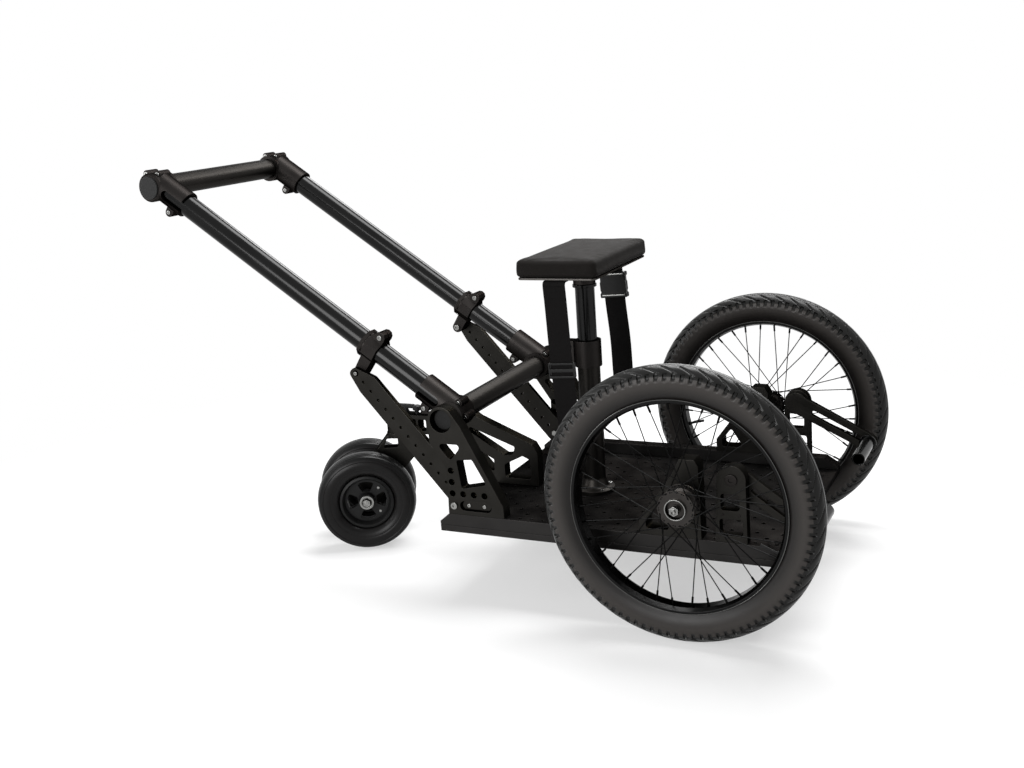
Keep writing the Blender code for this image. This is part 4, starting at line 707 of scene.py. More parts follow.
axleShape = {
    "radius": 0.0075, "end": 0.0273, "upright": 0.036, "head": (0.013, 0.008), "collar": 0.012,
    "nut": (0.0098, 0.0050, 0.0290),
    # turned parts that stand one on the other in the hub's cup: lock nut, step and tip
    "cone": ((0, 0.0290), (0.0086, 0.0290), (0.0092, 0.0262), (0.0092, 0.0200), (0, 0.0200)),
    "step": ((0, 0.0347), (0.0060, 0.0347), (0.0068, 0.0339), (0.0068, 0.0340), (0, 0.0340)),
    "tip": ((0, 0.0363), (0.0024, 0.0363), (0.0030, 0.0403), (0.0043, 0.0403), (0.0048, 0.0397),
            (0.0048, 0.0343), (0, 0.0343)),
}


def axleParts(shape):
    collarBottom = layout["deckHalf"] - layout["wheelY"] + gap
    headTop = collarBottom - shape["upright"] - 2 * gap
    return gathered([
        rod(shape["radius"], headTop, shape["end"]), turned(shape["cone"], 48), hexNut(*shape["nut"]),
        turned(shape["step"], 40), turned(shape["tip"], 24),
        rod(shape["collar"], collarBottom, -shape["end"], 40),
        moved(screwHead(*shape["head"]), shift(0, 0, headTop) @ turn(180, "X"))])


valves = {"right": 338, "left": 195, "rimRadius": 0.2005, "length": 0.036, "radius": 0.0026,
          "cap": 0.0032, "capLength": 0.011}


def valve(angle, shape):
    out = onCircle(1, angle, 0)
    foot, tip = out * shape["rimRadius"], out * (shape["rimRadius"] - shape["length"])
    return gathered([rodBetween(foot, tip, shape["radius"], 14),
                     rodBetween(foot, foot - out * 0.004, shape["radius"] * 1.8, 6),
                     rodBetween(tip + out * shape["capLength"], tip - out * 0.001, shape["cap"], 14)])


def bigWheels():
    kinds = (("treaded_tyre", treadedTyre(tyreShape), "rubber", "tyre", 50),
             ("double_wall_rim", rimSection(rimShape), "rim", "rim", 32),
             # the lip rings carry a painted highlight
             ("rim_lip_highlights", lipHighlightRings(rimShape), "lip", "", 32),
             ("hub_shell", hubBody(hubShape), "hub", "hub_and_spokes", 32),
             ("hub_ring", hubRing(hubShape), "zinc", "", 32),
             ("laced_spokes", spokes(spokeShape), "spoke", "", 32))
    axle = axleParts(axleShape)
    for name, side in sides:
        place = baseFrame @ shift(0, side * layout["wheelY"], layout["axleZ"]) @ outboard(side)
        for label, work, finish, node, sharp in kinds:
            addPiece(f"{name}_{label}", work.copy(), finish, f"{name}_wheel", place,
                     [f"{name}_{node}"] if node else (), sharp)
        addPiece(f"{name}_axle_and_nuts", axle.copy(), "zinc", "base", place, [f"{name}_axle"])
        addPiece(f"{name}_valve", valve(-side * math.radians(valves[name]), valves), "nylon",
                 f"{name}_wheel", place)


bigWheels()
print("wheels are made")


# Push handle

fittingShape = {
    "ring": 0.032, "half": 0.0305, "sleeve": 0.0305, "reach": 0.088, "splitStart": 0.044,
    "splitHeight": 0.022, "lug": (0.060, -0.036), "lugRadius": 0.010, "lugWidth": 0.030, "lugRoot": -0.004,
    "ringLugs": ((-0.0012, 0.0335), (-0.0290, 0.0168)), "ringLugRadius": 0.0085, "ringLugWidth": 0.034,
    "slit": (0.034, 0.0022, 0.026), "screw": (0.0048, 0.0022), "chamfer": 0.004, "tubeStart": 0.037,
    "endGap": 0.003, "steps": 56, "edge": 0.0008,
}
tubeBore = (tubeRadius + gap, 64, cutterEdge)
handleShape = {"wall": 0.003, "crossHalf": 0.268, "gripCap": 0.0255, "crossCap": 0.0216, "capBore": 0.021}


def lugOutline(centre, radius, root, steps=12):
    out = Vector(centre) - Vector(root)
    heading = math.degrees(math.atan2(out.y, out.x))
    side = Vector((-out.y, out.x)).normalized() * radius
    return (arc(centre, radius, heading - 90, heading + 90, steps)
            + [tuple(Vector(root) + side), tuple(Vector(root) - side)])


def cornerFitting(shape, toward):
    # stands on the right-hand handle tube: its ring's axis lies along Y, and X runs down the tube
    half, ring, chamfer, edge = shape["half"], shape["ring"], shape["chamfer"], shape["edge"]
    tubeLift = shift(0, 0, layout["tubeRise"])
    along = tubeLift @ turn(90 * toward, "Y")
    across = outboard(-1)
    profile = [(0, half), (ring - chamfer, half), (ring, half - chamfer), (ring, -half), (0, -half)]
    body = moved(turned(profile, shape["steps"]), across)
    lugX, lugZ = shape["lug"]
    lugX *= toward
    lug = cutPlate([lugOutline((lugX, lugZ), shape["lugRadius"], (lugX, shape["lugRoot"]))],
                   shape["lugWidth"], edge)
    ears = [cutPlate([lugOutline((toward * x, z), shape["ringLugRadius"], (0, 0))], shape["ringLugWidth"],
                     edge) for x, z in shape["ringLugs"]]
    split = cutPlate([slotOutline((toward * shape["splitStart"], 0),
                                  (toward * (shape["reach"] + shape["splitHeight"]), 0),
                                  shape["splitHeight"] / 2, 10)], shape["sleeve"], 0.0002)
    radius, steps, fine = tubeBore
    added = [moved(rod(shape["sleeve"], 0, shape["reach"], shape["steps"], edge), along),
             moved(lug, tubeLift @ upright)] + [moved(ear, upright) for ear in ears]
    cut = [moved(rod(radius, -2 * half, 2 * half, steps, fine), across),
           moved(rod(radius, shape["tubeStart"] - shape["endGap"], 0.2, steps, fine), along),
           moved(split, tubeLift @ shift(0, -shape["sleeve"], 0) @ upright),
           block(shape["slit"], (lugX, 0, lugZ - 0.003 + layout["tubeRise"]), 0)]
    return carved(body, [("UNION", tool) for tool in added] + [("DIFFERENCE", tool) for tool in cut])


def fittingScrews(shape, toward):
    lugX, lugZ = shape["lug"]
    places = [(lugX, lugZ + layout["tubeRise"], shape["lugWidth"] / 2)]
    places += [(x, z, shape["ringLugWidth"] / 2) for x, z in shape["ringLugs"]]
    return screwHeads(*shape["screw"], [(toward * x, side * y, z, side) for x, z, y in places
                                        for side in (-1, 1)])


def endCap(radius, bore):
    profile = [(0, 0.0028), (radius * 0.55, 0.0030), (radius - 0.0012, 0.0030), (radius, 0.0018),
               (radius, gap), (bore - gap, gap), (bore - gap, -0.012), (0, -0.012)]
    return turned(profile, 64)


def pushHandle(shape):
    length, wall, crossHalf = layout["handleLength"], shape["wall"], shape["crossHalf"]
    gripHalf = layout["tubeY"] + fittingShape["half"]
    bars = (("cross_bar", "cross_tube", 0, crossHalf), ("push_bar", "grip_bar", -length, gripHalf))
    for label, node, x, half in bars:
        addPiece(label, tube(tubeRadius, wall, half), "mattTube", "handle",
                 handleFrame @ shift(x, 0, 0) @ upright, [node])
    ends = [(x, label, cornerFitting(fittingShape, toward), fittingScrews(fittingShape, toward))
            for x, toward, label in ((0, -1, "lower"), (-length, 1, "upper"))]
    caps = (("push_bar_plug", "grip_cap", -length, gripHalf, shape["gripCap"]),
            ("cross_bar_plug", "cross_tube_cap", 0, crossHalf, shape["crossCap"]))
    for name, side in sides:
        tubePlace = tubeFrame @ shift(-length / 2, side * layout["tubeY"], 0) @ turn(90, "Y")
        addPiece(f"{name}_push_tube", tube(tubeRadius, wall, length / 2 - fittingShape["tubeStart"]),
                 "tube", "handle", tubePlace, [f"{name}_handle_tube"])
        for x, label, fitting, screws in ends:
            place = handleFrame @ mirrors[side] @ shift(x, -layout["tubeY"], 0)
            addPiece(f"{name}_{label}_corner", fitting.copy(), "cast", "handle", place,
                     [f"{name}_{label}_fitting"], 28)
            addPiece(f"{name}_{label}_corner_screws", screws.copy(), "zinc", "handle", place)
        for label, node, x, half, radius in caps:
            addPiece(f"{name}_{label}", endCap(radius, shape["capBore"]), "nylon", "handle",
                     handleFrame @ shift(x, side * half, 0) @ outboard(side), [f"{name}_{node}"])


pushHandle(handleShape)
print("handle is made")


# Sliding clamps, braces and rear brackets

clampShape = {
    "length": 0.043, "corner": 0.0322, "lug": (0.010, 0.036), "root": (0.004, 0), "lugRadius": 0.0125,
    "lugWidth": 0.034, "tongue": 0.028, "tongueRoot": -0.012, "tip": 0.0125, "pivot": (0.0049, -0.0591),
    "pivotBore": 0.0038, "bore": 0.0244, "groove": (0.0293, 0.0315, 0.0018), "grooveX": -0.012,
    "slit": (0.05, 0.0022, 0.026), "through": 0.05, "screw": (0.0055, 0.0024), "edge": 0.0008,
    "bolt": 0.0035, "boltHead": (0.0070, 0.0040), "boltEnd": (0.0042, 0.0024, 0.45),
}
bracketShape = {
    "thickness": 0.030, "hub": 0.0305, "bore": 0.0244, "hole": 0.0068, "pitch": 0.0248,
    "corner": (0.0150, 0.0455), "bolt": (0.0174, 0.019), "boltHole": 0.0043, "boltRadius": 0.004,
    "boltHead": (0.0075, 0.0037), "nut": (0.0075, 0.0040), "bar": 0.018, "barScrews": (0.049, 0.085),
}
braceShape = {"thickness": 0.012, "foot": 0.0044, "top": 0.0065, "hole": 0.0032, "spans": 14}
braceY = layout["deckHalf"] - bracketShape["thickness"] - gap
tongueY = braceY - braceShape["thickness"] - gap
tongueThickness = 2 * (tongueY - layout["tubeY"]) - 0.010


def slidingClamp(shape):
    edge, through, along = shape["edge"], shape["through"], turn(90, "Y")
    flats = circle((0, 0), shape["corner"], 8, math.radians(22.5))
    collar = moved(cutPlate([flats], shape["length"], edge), along)
    lug = cutPlate([lugOutline(shape["lug"], shape["lugRadius"], shape["root"], 5)], shape["lugWidth"], edge)
    x, z = shape["pivot"]
    half = shape["tongue"] / 2
    outline = arc((x, z), shape["tip"], 190, 350, 20)
    outline += [(x + half, shape["tongueRoot"]), (x - half, shape["tongueRoot"])]
    tongue = moved(cutPlate([outline], tongueThickness, edge),
                   shift(0, layout["tubeY"] - tongueY + tongueThickness / 2, 0) @ upright)
    inner, outer, halfGroove = shape["groove"]
    groove = turned(box(inner, outer, -halfGroove, halfGroove), 56, closed=True)
    lugX, lugZ = shape["lug"]
    return carved(collar, [
        ("UNION", moved(lug, upright)), ("UNION", tongue),
        ("DIFFERENCE", moved(groove, shift(shape["grooveX"], 0, 0) @ along)),
        ("DIFFERENCE", moved(rod(shape["bore"], -through, through, 64, cutterEdge), along)),
        ("DIFFERENCE", block(shape["slit"], (lugX, 0, lugZ + 0.001), 0)),
        ("DIFFERENCE", moved(rod(shape["pivotBore"], -through, through, 24, cutterEdge),
                             shift(x, 0, z) @ upright)),
    ])


def pivotBolt(shape):
    bottom, end = -tongueThickness - gap, braceY + gap - tongueY
    return gathered([rod(shape["bolt"], bottom, end, 24),
                     moved(screwHead(*shape["boltHead"]), shift(0, 0, bottom) @ turn(180, "X")),
                     moved(screwHead(*shape["boltEnd"]), shift(0, 0, end))])


def footBolt(shape):
    bottom = -shape["thickness"] - braceShape["thickness"] - 3 * gap
    return gathered([rod(shape["boltRadius"], bottom, gap, 24),
                     moved(screwHead(*shape["boltHead"]), shift(0, 0, gap)),
                     hexNut(*shape["nut"], bottom - shape["nut"][1])])


def braceLoops(shape, length):
    # from the foot's hole at 0 back to the pivot's hole at -length
    corners = [(-length - 0.0125, -0.0125), (-length - 0.0125, 0.006), (-length + 0.035, 0.030),
               (0.018, 0.030), (0.018, -0.022), (-length + 0.035, -0.022)]
    loops = [rounded(corners, [0.010, 0.010, 0.018, 0.018, 0.018, 0.018], 8),
             circle((0, 0), shape["foot"], 24), circle((-length, 0), shape["top"], 24)]
    return loops + [circle((-step * length / shape["spans"], 0), shape["hole"], 16)
                    for step in range(1, shape["spans"])]


def bracketLoops(shape):
    hub = (0, layout["crossZ"] - layout["footZ"])
    outline = [(0.0024, 0), (0.1314, 0), (0.1304, 0.026), (0.044, 0.192)]
    outline += arc(hub, shape["hub"], 35, 180, 24) + [(-shape["hub"], 0.152), (0.0054, 0.099)]
    cornerX, cornerZ = shape["corner"]
    row = [(cornerX + step * shape["pitch"], cornerZ) for step in range(4)]
    row += [(cornerX, cornerZ + step * shape["pitch"]) for step in (1, 2)]
    loops = [outline, circle(hub, shape["bore"], 64),
             rounded([(-0.014, 0.1525), (0.045, 0.1525), (0.016, 0.1165)], 0.0065),
             rounded([(0.030, 0.119), (0.066, 0.1225), (0.0955, 0.0700), (0.038, 0.0575)], 0.004),
             slotOutline((0.041, 0.020), (0.093, 0.020), 0.0105),
             circle(shape["bolt"], shape["boltHole"], 24)]
    return loops + [circle(centre, shape["hole"], 24) for centre in row]


def footBar(shape):
    # the bar that the foot screws pull down, set back in the bracket's slot
    return cutPlate([slotOutline((0.043, 0.020), (0.091, 0.020), 0.0095)], shape["bar"], 0.0012)


def footBarScrews(shape):
    return gathered([moved(screwHead(0.0040, 0.0018), shift(x, 0.020, shape["bar"] / 2))
                     for x in shape["barScrews"]])


def rearSupports(bracket, clamp, brace):
    bracketWork = cutPlate(bracketLoops(bracket), bracket["thickness"], plateEdge)
    clampWork = slidingClamp(clamp)
    boltX, boltZ = bracket["bolt"]
    pivotX, pivotZ = clamp["pivot"]
    foot = baseFrame @ Vector((layout["crossX"] + boltX, 0, layout["footZ"] + boltZ))
    reach = clampFrame @ Vector((pivotX, 0, pivotZ)) - foot
    rise = math.degrees(math.atan2(reach.z, -reach.x))
    bracketY = layout["deckHalf"] - bracket["thickness"] / 2
    for name, side in sides:
        place = baseFrame @ shift(layout["crossX"], side * bracketY, layout["footZ"])
        addPiece(f"{name}_windowed_bracket", bracketWork.copy(), "plate", "base", place @ upright,
                 [f"{name}_rear_bracket"])
        addPiece(f"{name}_foot_bar", footBar(bracket), "plate", "base", place @ upright)
        addPiece(f"{name}_foot_bar_screws", footBarScrews(bracket), "zinc", "base",
                 place @ mirrors[side] @ upright)
        place = Matrix.Translation(foot) @ shift(0, side * layout["deckHalf"], 0) @ outboard(side)
        addPiece(f"{name}_brace_foot_bolt", footBolt(bracket), "zinc", "base", place,
                 [f"{name}_brace_bolt"])
        place = clampFrame @ mirrors[side] @ shift(0, -layout["tubeY"], 0)
        addPiece(f"{name}_split_clamp", clampWork.copy(), "cast", "handle_clamps", place,
                 [f"{name}_sliding_clamp"], 28)
        x, z = clamp["lug"]
        heads = screwHeads(*clamp["screw"], [(x, way * clamp["lugWidth"] / 2, z, way) for way in (-1, 1)])
        addPiece(f"{name}_split_clamp_screws", heads, "zinc", "handle_clamps", place)
        place = clampFrame @ shift(pivotX, side * tongueY, pivotZ) @ outboard(side)
        addPiece(f"{name}_brace_pivot", pivotBolt(clamp), "zinc", "handle_clamps", place,
                 [f"{name}_pivot_bolt"])
        place = (Matrix.Translation(foot) @ shift(0, side * (braceY - brace["thickness"] / 2), 0)
                 @ turn(rise, "Y") @ upright)
        bar = cutPlate(braceLoops(brace, reach.length), brace["thickness"], plateEdge)
        addPiece(f"{name}_drilled_brace", bar, "plate", "handle_braces", place, [f"{name}_brace"])


rearSupports(bracketShape, clampShape, braceShape)
print("rear supports are made")


# Deck

deckShape = {
    "rear": -0.545, "front": 0.175, "bottom": 0.144, "thickness": 0.014, "rail": 0.030,
    "railHeight": 0.0257, "firstHole": 0.026, "holeStep": (0.0257, 0.026), "columns": 27, "rows": 9,
    "hole": 0.0043, "railHole": 0.0032,
    # the rails' sloping ends: which way each faces, then its run and drop
    "cuts": (("rear", -1, 0.022, 0.018), ("front", 1, 0.030, 0.019)),
    # undrilled: beside the rails, round the post and under the caster arm
    "railSpace": 0.008, "postSpace": 0.050, "armSpace": (-0.575, -0.425, 0.020),
}


def holeColumns(shape):
    return [shape["rear"] + shape["firstHole"] + i * shape["holeStep"][0] for i in range(shape["columns"])]


def deckFloor(shape):
    half = layout["deckHalf"]
    armRear, armFront, armHalf = shape["armSpace"]
    loops = [box(shape["rear"], shape["front"], -half, half)]
    for i, x in enumerate(holeColumns(shape)):
        for j in range(-shape["rows"], shape["rows"] + 1):
            y = j * shape["holeStep"][1]
            onRail = abs(y) >= half - shape["rail"] - shape["railSpace"]
            onPost = math.hypot(x - layout["postX"], y) < shape["postSpace"]
            onArm = armRear < x < armFront and abs(y) < armHalf
            if (i + j) % 2 == 0 and not (onRail or onPost or onArm):
                loops.append(circle((x, y), shape["hole"], 12))
    return cutPlate(loops, shape["thickness"], 0.0006)


def sideRail(shape, side):
    half, height = shape["rail"] / 2, shape["railHeight"]
    middle, top = side * (layout["deckHalf"] - half), layout["floorZ"] + height
    loops = [box(shape["rear"], shape["front"], middle - half, middle + half)]
    loops += [circle((x, middle), shape["railHole"], 12) for x in holeColumns(shape)]
    work = moved(cutPlate(loops, height, 0.0007), shift(0, 0, top - height / 2))
    for end, way, run, drop in shape["cuts"]:
        bmesh.ops.bisect_plane(work, geom=work.verts[:] + work.edges[:] + work.faces[:],
                               plane_co=(shape[end], 0, top - drop),
                               plane_no=Vector((way * drop, 0, run)).normalized(), clear_outer=True)
        bmesh.ops.contextual_create(work, geom=[edge for edge in work.edges if edge.is_boundary])
    return tidy(work)


def deck(shape):
    middle = shape["bottom"] + shape["thickness"] / 2
    addPiece("drilled_floor", deckFloor(shape), "deck", "base", baseFrame @ shift(0, 0, middle),
             ["deck_plate"])
    for name, side in sides:
        addPiece(f"{name}_drilled_rail", sideRail(shape, side), "deck", "base", baseFrame,
                 [f"{name}_side_rail"])


deck(deckShape)
print("deck is made")


# Axle uprights and footrests

uprightLoops = [
    [(-0.101, 0), (0.024, 0), (0.021, 0.146), (0.013, 0.158), (-0.016, 0.158), (-0.026, 0.136),
     (-0.050, 0.099), (-0.067, 0.075), (-0.101, 0.030)],
    circle((0, layout["axleZ"] - layout["footZ"]), 0.0078, 32),
    rounded([(-0.087, 0.013), (-0.037, 0.013), (-0.066, 0.058), (-0.087, 0.030)], 0.005),
]
footrest = {
    "x": 0.084, "z": 0.309, "bracket": 0.023, "boss": 0.028, "pinHole": 0.0084, "pin": 0.008,
    "pinHead": (0.012, 0.0027, 0.4), "screw": (0.0028, 0.0010),
    "screws": ((-0.018, 0.0555), (0.014, 0.0555), (-0.028, 0.006), (0.024, 0.006)),
    "arm": 0.012, "length": 0.177, "head": 0.025, "half": 0.0195, "slot": (0.045, 0.0055),
    "drops": {"right": 35, "left": 27}, "peg": 0.014, "pegWall": 0.003, "pegEnd": 0.130,
    "flange": 0.0185, "stud": (0.005, 0.0128), "studHead": (0.008, 0.0038),
}


def footrestBracket(shape):
    boss = (0, shape["z"] - layout["footZ"])
    outline = [(-0.033, 0), (0.029, 0)] + arc(boss, shape["boss"], -10, 190, 28)
    return cutPlate([outline, rounded(box(-0.021, 0.015, 0.064, 0.097), 0.006),
                     rounded(box(-0.024, 0.021, 0.014, 0.047), 0.006),
                     circle(boss, shape["pinHole"], 24)], shape["bracket"], plateEdge)


def footrestArm(shape):
    end, (slotStart, slotRadius) = shape["length"], shape["slot"]
    outline = arc((0, 0), shape["head"], 60, 300, 24) + arc((end, 0), shape["half"], -90, 90, 16)
    return cutPlate([outline, slotOutline((slotStart, 0), (end, 0), slotRadius)], shape["arm"], 0.0009)


def pegProfile(shape, length):
    radius, flange, inner = shape["peg"], shape["flange"], shape["peg"] - shape["pegWall"]
    corners = [(0.018, 0), (flange, -0.0012), (flange, -0.005), (radius, -0.005), (radius, -length),
               (inner, -length), (inner, -0.012)]
    return ([(0, 0)] + rounded(corners, [0, 0.0006, 0.0006, 0.0002, 0.0009, 0.0006, 0.0002], 2)
            + [(0, -0.012)])


def frontSupports(shape, thickness):
    deckHalf, footZ, bracket = layout["deckHalf"], layout["footZ"], shape["bracket"]
    armOuter = deckHalf - bracket - gap
    flangeY = armOuter - shape["arm"] - gap
    peg = pegProfile(shape, flangeY - shape["pegEnd"])
    studRadius, studLength = shape["stud"]
    footFrame = baseFrame @ shift(shape["x"], 0, footZ)
    for name, side in sides:
        body = f"{name}_footrest"
        addPiece(f"{name}_axle_bracket", cutPlate(uprightLoops, thickness, plateEdge), "plate", "base",
                 baseFrame @ shift(0, side * (deckHalf - thickness / 2), footZ) @ upright,
                 [f"{name}_axle_upright"])
        middle = side * (deckHalf - bracket / 2)
        addPiece(f"{name}_foot_bracket", footrestBracket(shape), "plate", "base",
                 footFrame @ shift(0, middle, 0) @ upright, [f"{name}_footrest_bracket"])
        heads = screwHeads(*shape["screw"], [(x, middle + way * bracket / 2, z, way)
                                             for x, z in shape["screws"] for way in (-1, 1)])
        addPiece(f"{name}_foot_bracket_screws", heads, "cast", "base", footFrame)
        armFrame = baseFrame @ shift(shape["x"], 0, shape["z"]) @ turn(shape["drops"][name], "Y")
        addPiece(f"{name}_foot_arm", footrestArm(shape), "plate", body,
                 armFrame @ shift(0, side * (armOuter - shape["arm"] / 2), 0) @ upright,
                 [f"{name}_footrest_arm"])
        pin = gathered([rod(shape["pin"], -bracket - 0.001, gap),
                        moved(screwHead(*shape["pinHead"]), shift(0, 0, gap))])
        addPiece(f"{name}_foot_arm_pin", pin, "cast", body,
                 armFrame @ shift(0, side * deckHalf, 0) @ outboard(side))
        pegPlace = armFrame @ shift(shape["length"], side * flangeY, 0) @ outboard(side)
        addPiece(f"{name}_foot_peg", turned(peg, 48), "tube", body, pegPlace, [f"{name}_footrest_peg"])
        stud = gathered([rod(studRadius, 0, studLength, 24),
                         moved(screwHead(*shape["studHead"]), shift(0, 0, studLength - 0.0002))])
        addPiece(f"{name}_foot_peg_bolt", stud, "zinc", body, pegPlace)


frontSupports(footrest, axleShape["upright"])
print("front supports are made")


# Caster arm and head

armShape = {"x": -0.438, "length": 0.328, "thickness": 0.028}
armLoops = [
    [(0, 0), (0, 0.078), (-0.012, 0.098), (-0.145, 0.153), (-0.155, 0.160), (-0.168, 0.160),
     (-0.178, 0.149), (-armShape["length"], 0.149), (-armShape["length"], 0.104), (-0.240, 0.104),
     (-0.196, 0.092), (-0.126, 0.010), (-0.126, 0)],
    rounded([(-0.169, 0.131), (-0.056, 0.0895), (-0.062, 0.071), (-0.084, 0.068), (-0.169, 0.119)], 0.004),
    rounded([(-0.084, 0.046), (-0.038, 0.069), (-0.019, 0.060), (-0.019, 0.015), (-0.084, 0.015)], 0.006),
    rounded([(-0.168, 0.087), (-0.111, 0.056), (-0.111, 0.022)], 0.004),
    rounded(box(-0.304, -0.283, 0.112, 0.139), 0.004),
    rounded(box(-0.320, -0.310, 0.112, 0.139), 0.003),
    slotOutline((-0.268, 0.119), (-0.268, 0.132), 0.0065),
]
headShape = {
    "bottom": 0.2623, "top": 0.3073, "radius": 0.024, "neck": 0.020, "bore": 0.0104,
    "screw": (0.0042, 0.0024), "screwX": 0.026, "screwRises": (0.012, 0.033), "knobX": -0.750,
    "knob": ((0, 0.3285), (0.0070, 0.3285), (0.0100, 0.3262), (0.0100, 0.3180), (0.0070, 0.3160),
             (0.0045, 0.3140), (0.0045, 0.3075), (0, 0.3075)),
    "latch": (-0.7335, -0.712, 0.0060), "latchZ": 0.3115, "lockX": -0.7795, "lockBore": 0.0044,
    "lockStem": ((0, 0.019), (0.006, 0.019), (0.006, 0.008), (0.008, 0.0075), (0.008, gap), (0.004, gap),
                 (0.004, -0.015), (0, -0.015)),
    "lockGrip": (0.019, 0.005, 0.010),
}


def casterHead(shape):
    casterX, neck, radius = layout["casterX"], shape["neck"], shape["radius"]
    neckEnd = armShape["x"] - armShape["length"] - gap - casterX
    neckTurn = math.degrees(math.asin(neck / radius))
    outline = arc((0, 0), radius, neckTurn, 360 - neckTurn, 48) + [(neckEnd, -neck), (neckEnd, neck)]
    return cutPlate([outline, circle((0, 0), shape["bore"], 48),
                     circle((shape["lockX"] - casterX, 0), shape["lockBore"], 24)],
                    shape["top"] - shape["bottom"], plateEdge)


def casterMount(shape):
    casterX, top, bottom = layout["casterX"], shape["top"], shape["bottom"]
    addPiece("windowed_caster_arm", cutPlate(armLoops, armShape["thickness"], 0.0009), "plate", "base",
             baseFrame @ shift(armShape["x"], 0, layout["floorZ"]) @ upright, ["caster_arm"])
    addPiece("swivel_head", casterHead(shape), "plate", "base",
             baseFrame @ shift(casterX, 0, (top + bottom) / 2), ["caster_head"])
    heads = screwHeads(*shape["screw"], [(casterX + shape["screwX"], way * shape["neck"], bottom + rise, way)
                                         for way in (-1, 1) for rise in shape["screwRises"]])
    addPiece("swivel_head_screws", heads, "zinc", "base", baseFrame)
    addPiece("arm_knob", turned(shape["knob"], 32), "nylon", "base", baseFrame @ shift(shape["knobX"], 0, 0))
    start, end, radius = shape["latch"]
    lever = cutPlate([slotOutline((start, 0), (end, 0), radius)], 0.005, 0.0010)
    pivot = moved(rod(0.0040, -0.0035, 0.0060, 24), shift(start, 0, 0))
    addPiece("arm_latch", gathered([lever, pivot]), "cast", "base", baseFrame @ shift(0, 0, shape["latchZ"]))
    half, radius, thickness = shape["lockGrip"]
    grip = moved(cutPlate([slotOutline((-half, 0), (half, 0), radius)], thickness, 0.0022),
                 shift(0, 0, 0.018))
    addPiece("lock_tee_handle", gathered([turned(shape["lockStem"], 32), grip]), "nylon", "caster_lock",
             baseFrame @ shift(shape["lockX"], 0, top), ["caster_lock_handle"])


# Caster fork and wheels

casterShape = {
    "trail": 0.085, "radius": 0.116, "wheelY": 0.0545, "rim": 0.064, "rimHalf": 0.024, "bore": 0.008,
    "hubBore": 0.0085, "bearing": 0.0165, "web": 0.008, "steps": 96,
    "plate": 0.012, "leg": 0.028, "axleEnd": 0.010, "nut": (0.009, 0.0065), "nutInset": 0.008,
    # four pairs of tread ribs on a crown that drops towards the shoulders
    "ribs": (0.0058, 0.0126, 0.0194, 0.0256), "drop": 0.0050, "dropPower": 2.2, "treadFoot": 0.1060,
    "wall": ((0.1075, 0.0294), (0.1040, 0.0316), (0.1024, 0.0318), (0.1012, 0.0310), (0.0998, 0.0318),
             (0.0950, 0.0336), (0.0900, 0.0340), (0.0855, 0.0334), (0.0838, 0.0320), (0.0822, 0.0322),
             (0.0770, 0.0305), (0.0715, 0.0272), (0.0668, 0.0217), (0.0644, 0.0182)),
    "window": ((0.0215, -0.0095), (0.0420, -0.0205), (0.0465, 0), (0.0420, 0.0205), (0.0215, 0.0095)),
    "ring": ((0.0165, 0.0030), (0.0165, -0.0010), (0.0095, -0.0010), (0.0095, 0.0012), (0.0125, 0.0030)),
    "screw": (0.0030, 0.0016), "screwReach": 0.041,
}


def casterTyre(shape):
    half = [(shape["radius"], 0.0)]
    for y in shape["ribs"]:
        top = shape["radius"] - shape["drop"] * (y / shape["ribs"][-1]) ** shape["dropPower"]
        half += [(top, y - 0.0014), (top - 0.0026, y - 0.0008), (top - 0.0028, y + 0.0008),
                 (top - 0.0004, y + 0.0014)]
    profile = bothHalves(half + list(shape["wall"]))
    # 1 on the tread and in its rib grooves, which take the painted shade colour
    marks = [1.0 if r > shape["treadFoot"] else 0.0 for r, y in profile]
    return turned(profile, shape["steps"], closed=True, layers={"tread": marks})


def casterHub(shape):
    half, bearing, rim, web = (shape[key] for key in ("rimHalf", "bearing", "rim", "web"))
    hub = turned(bothHalves([
        (shape["hubBore"], half + 0.0003), (bearing, half + 0.0003), (bearing + 0.002, half - 0.002),
        (bearing + 0.004, web), (rim - 0.013, web), (rim - 0.009, half - 0.003), (rim - 0.006, half),
        (rim - 0.001, half - 0.002), (rim, half - 0.005)]), 72, closed=True)
    window = rounded(shape["window"], [0.003, 0.005, 0.02, 0.005, 0.003], 5)
    return carved(hub, [("DIFFERENCE", moved(cutPlate([window], 0.06, 0.0002), turn(angle, "Z")))
                        for angle in (0, 90, 180, 270)])


def casterFork(shape):
    headTop, top = headShape["top"], headShape["bottom"] - gap
    bottom = top - shape["plate"]
    legTop, axleX = (top + bottom) / 2, -shape["trail"]
    outline = rounded([(0.026, legTop), (-0.026, legTop), (-0.053, 0.222), (axleX - 0.026, 0.130),
                       (axleX - 0.015, 0.092), (axleX + 0.018, 0.092), (0.036, 0.200), (0.036, 0.222)],
                      [0.002, 0.002, 0.010, 0.014, 0.012, 0.012, 0.006, 0.006], 8)
    window = rounded([(-0.0366, 0.2256), (-0.0274, 0.2475), (-0.002, 0.2475), (-0.002, 0.2256)], 0.003)
    leg = cutPlate([outline, window, circle((axleX, shape["radius"]), shape["bore"] + gap, 32)],
                   shape["leg"], 0.0012)
    stem = turned([(0, headTop + 0.0063), (0.0155, headTop + 0.0063), (0.017, headTop + 0.0050),
                   (0.017, headTop + gap), (0.010, headTop + gap), (0.010, top), (0.0255, top),
                   (0.026, top - 0.001), (0.026, bottom + 0.001), (0.0255, bottom), (0, bottom)], 56)
    return carved(moved(leg, upright), [("UNION", stem)])


def bothEnds(shape, height):
    # a copy at this height and one that faces the other way
    return [moved(shape.copy(), turn(angle, "X") @ shift(0, 0, height)) for angle in (0, 180)]


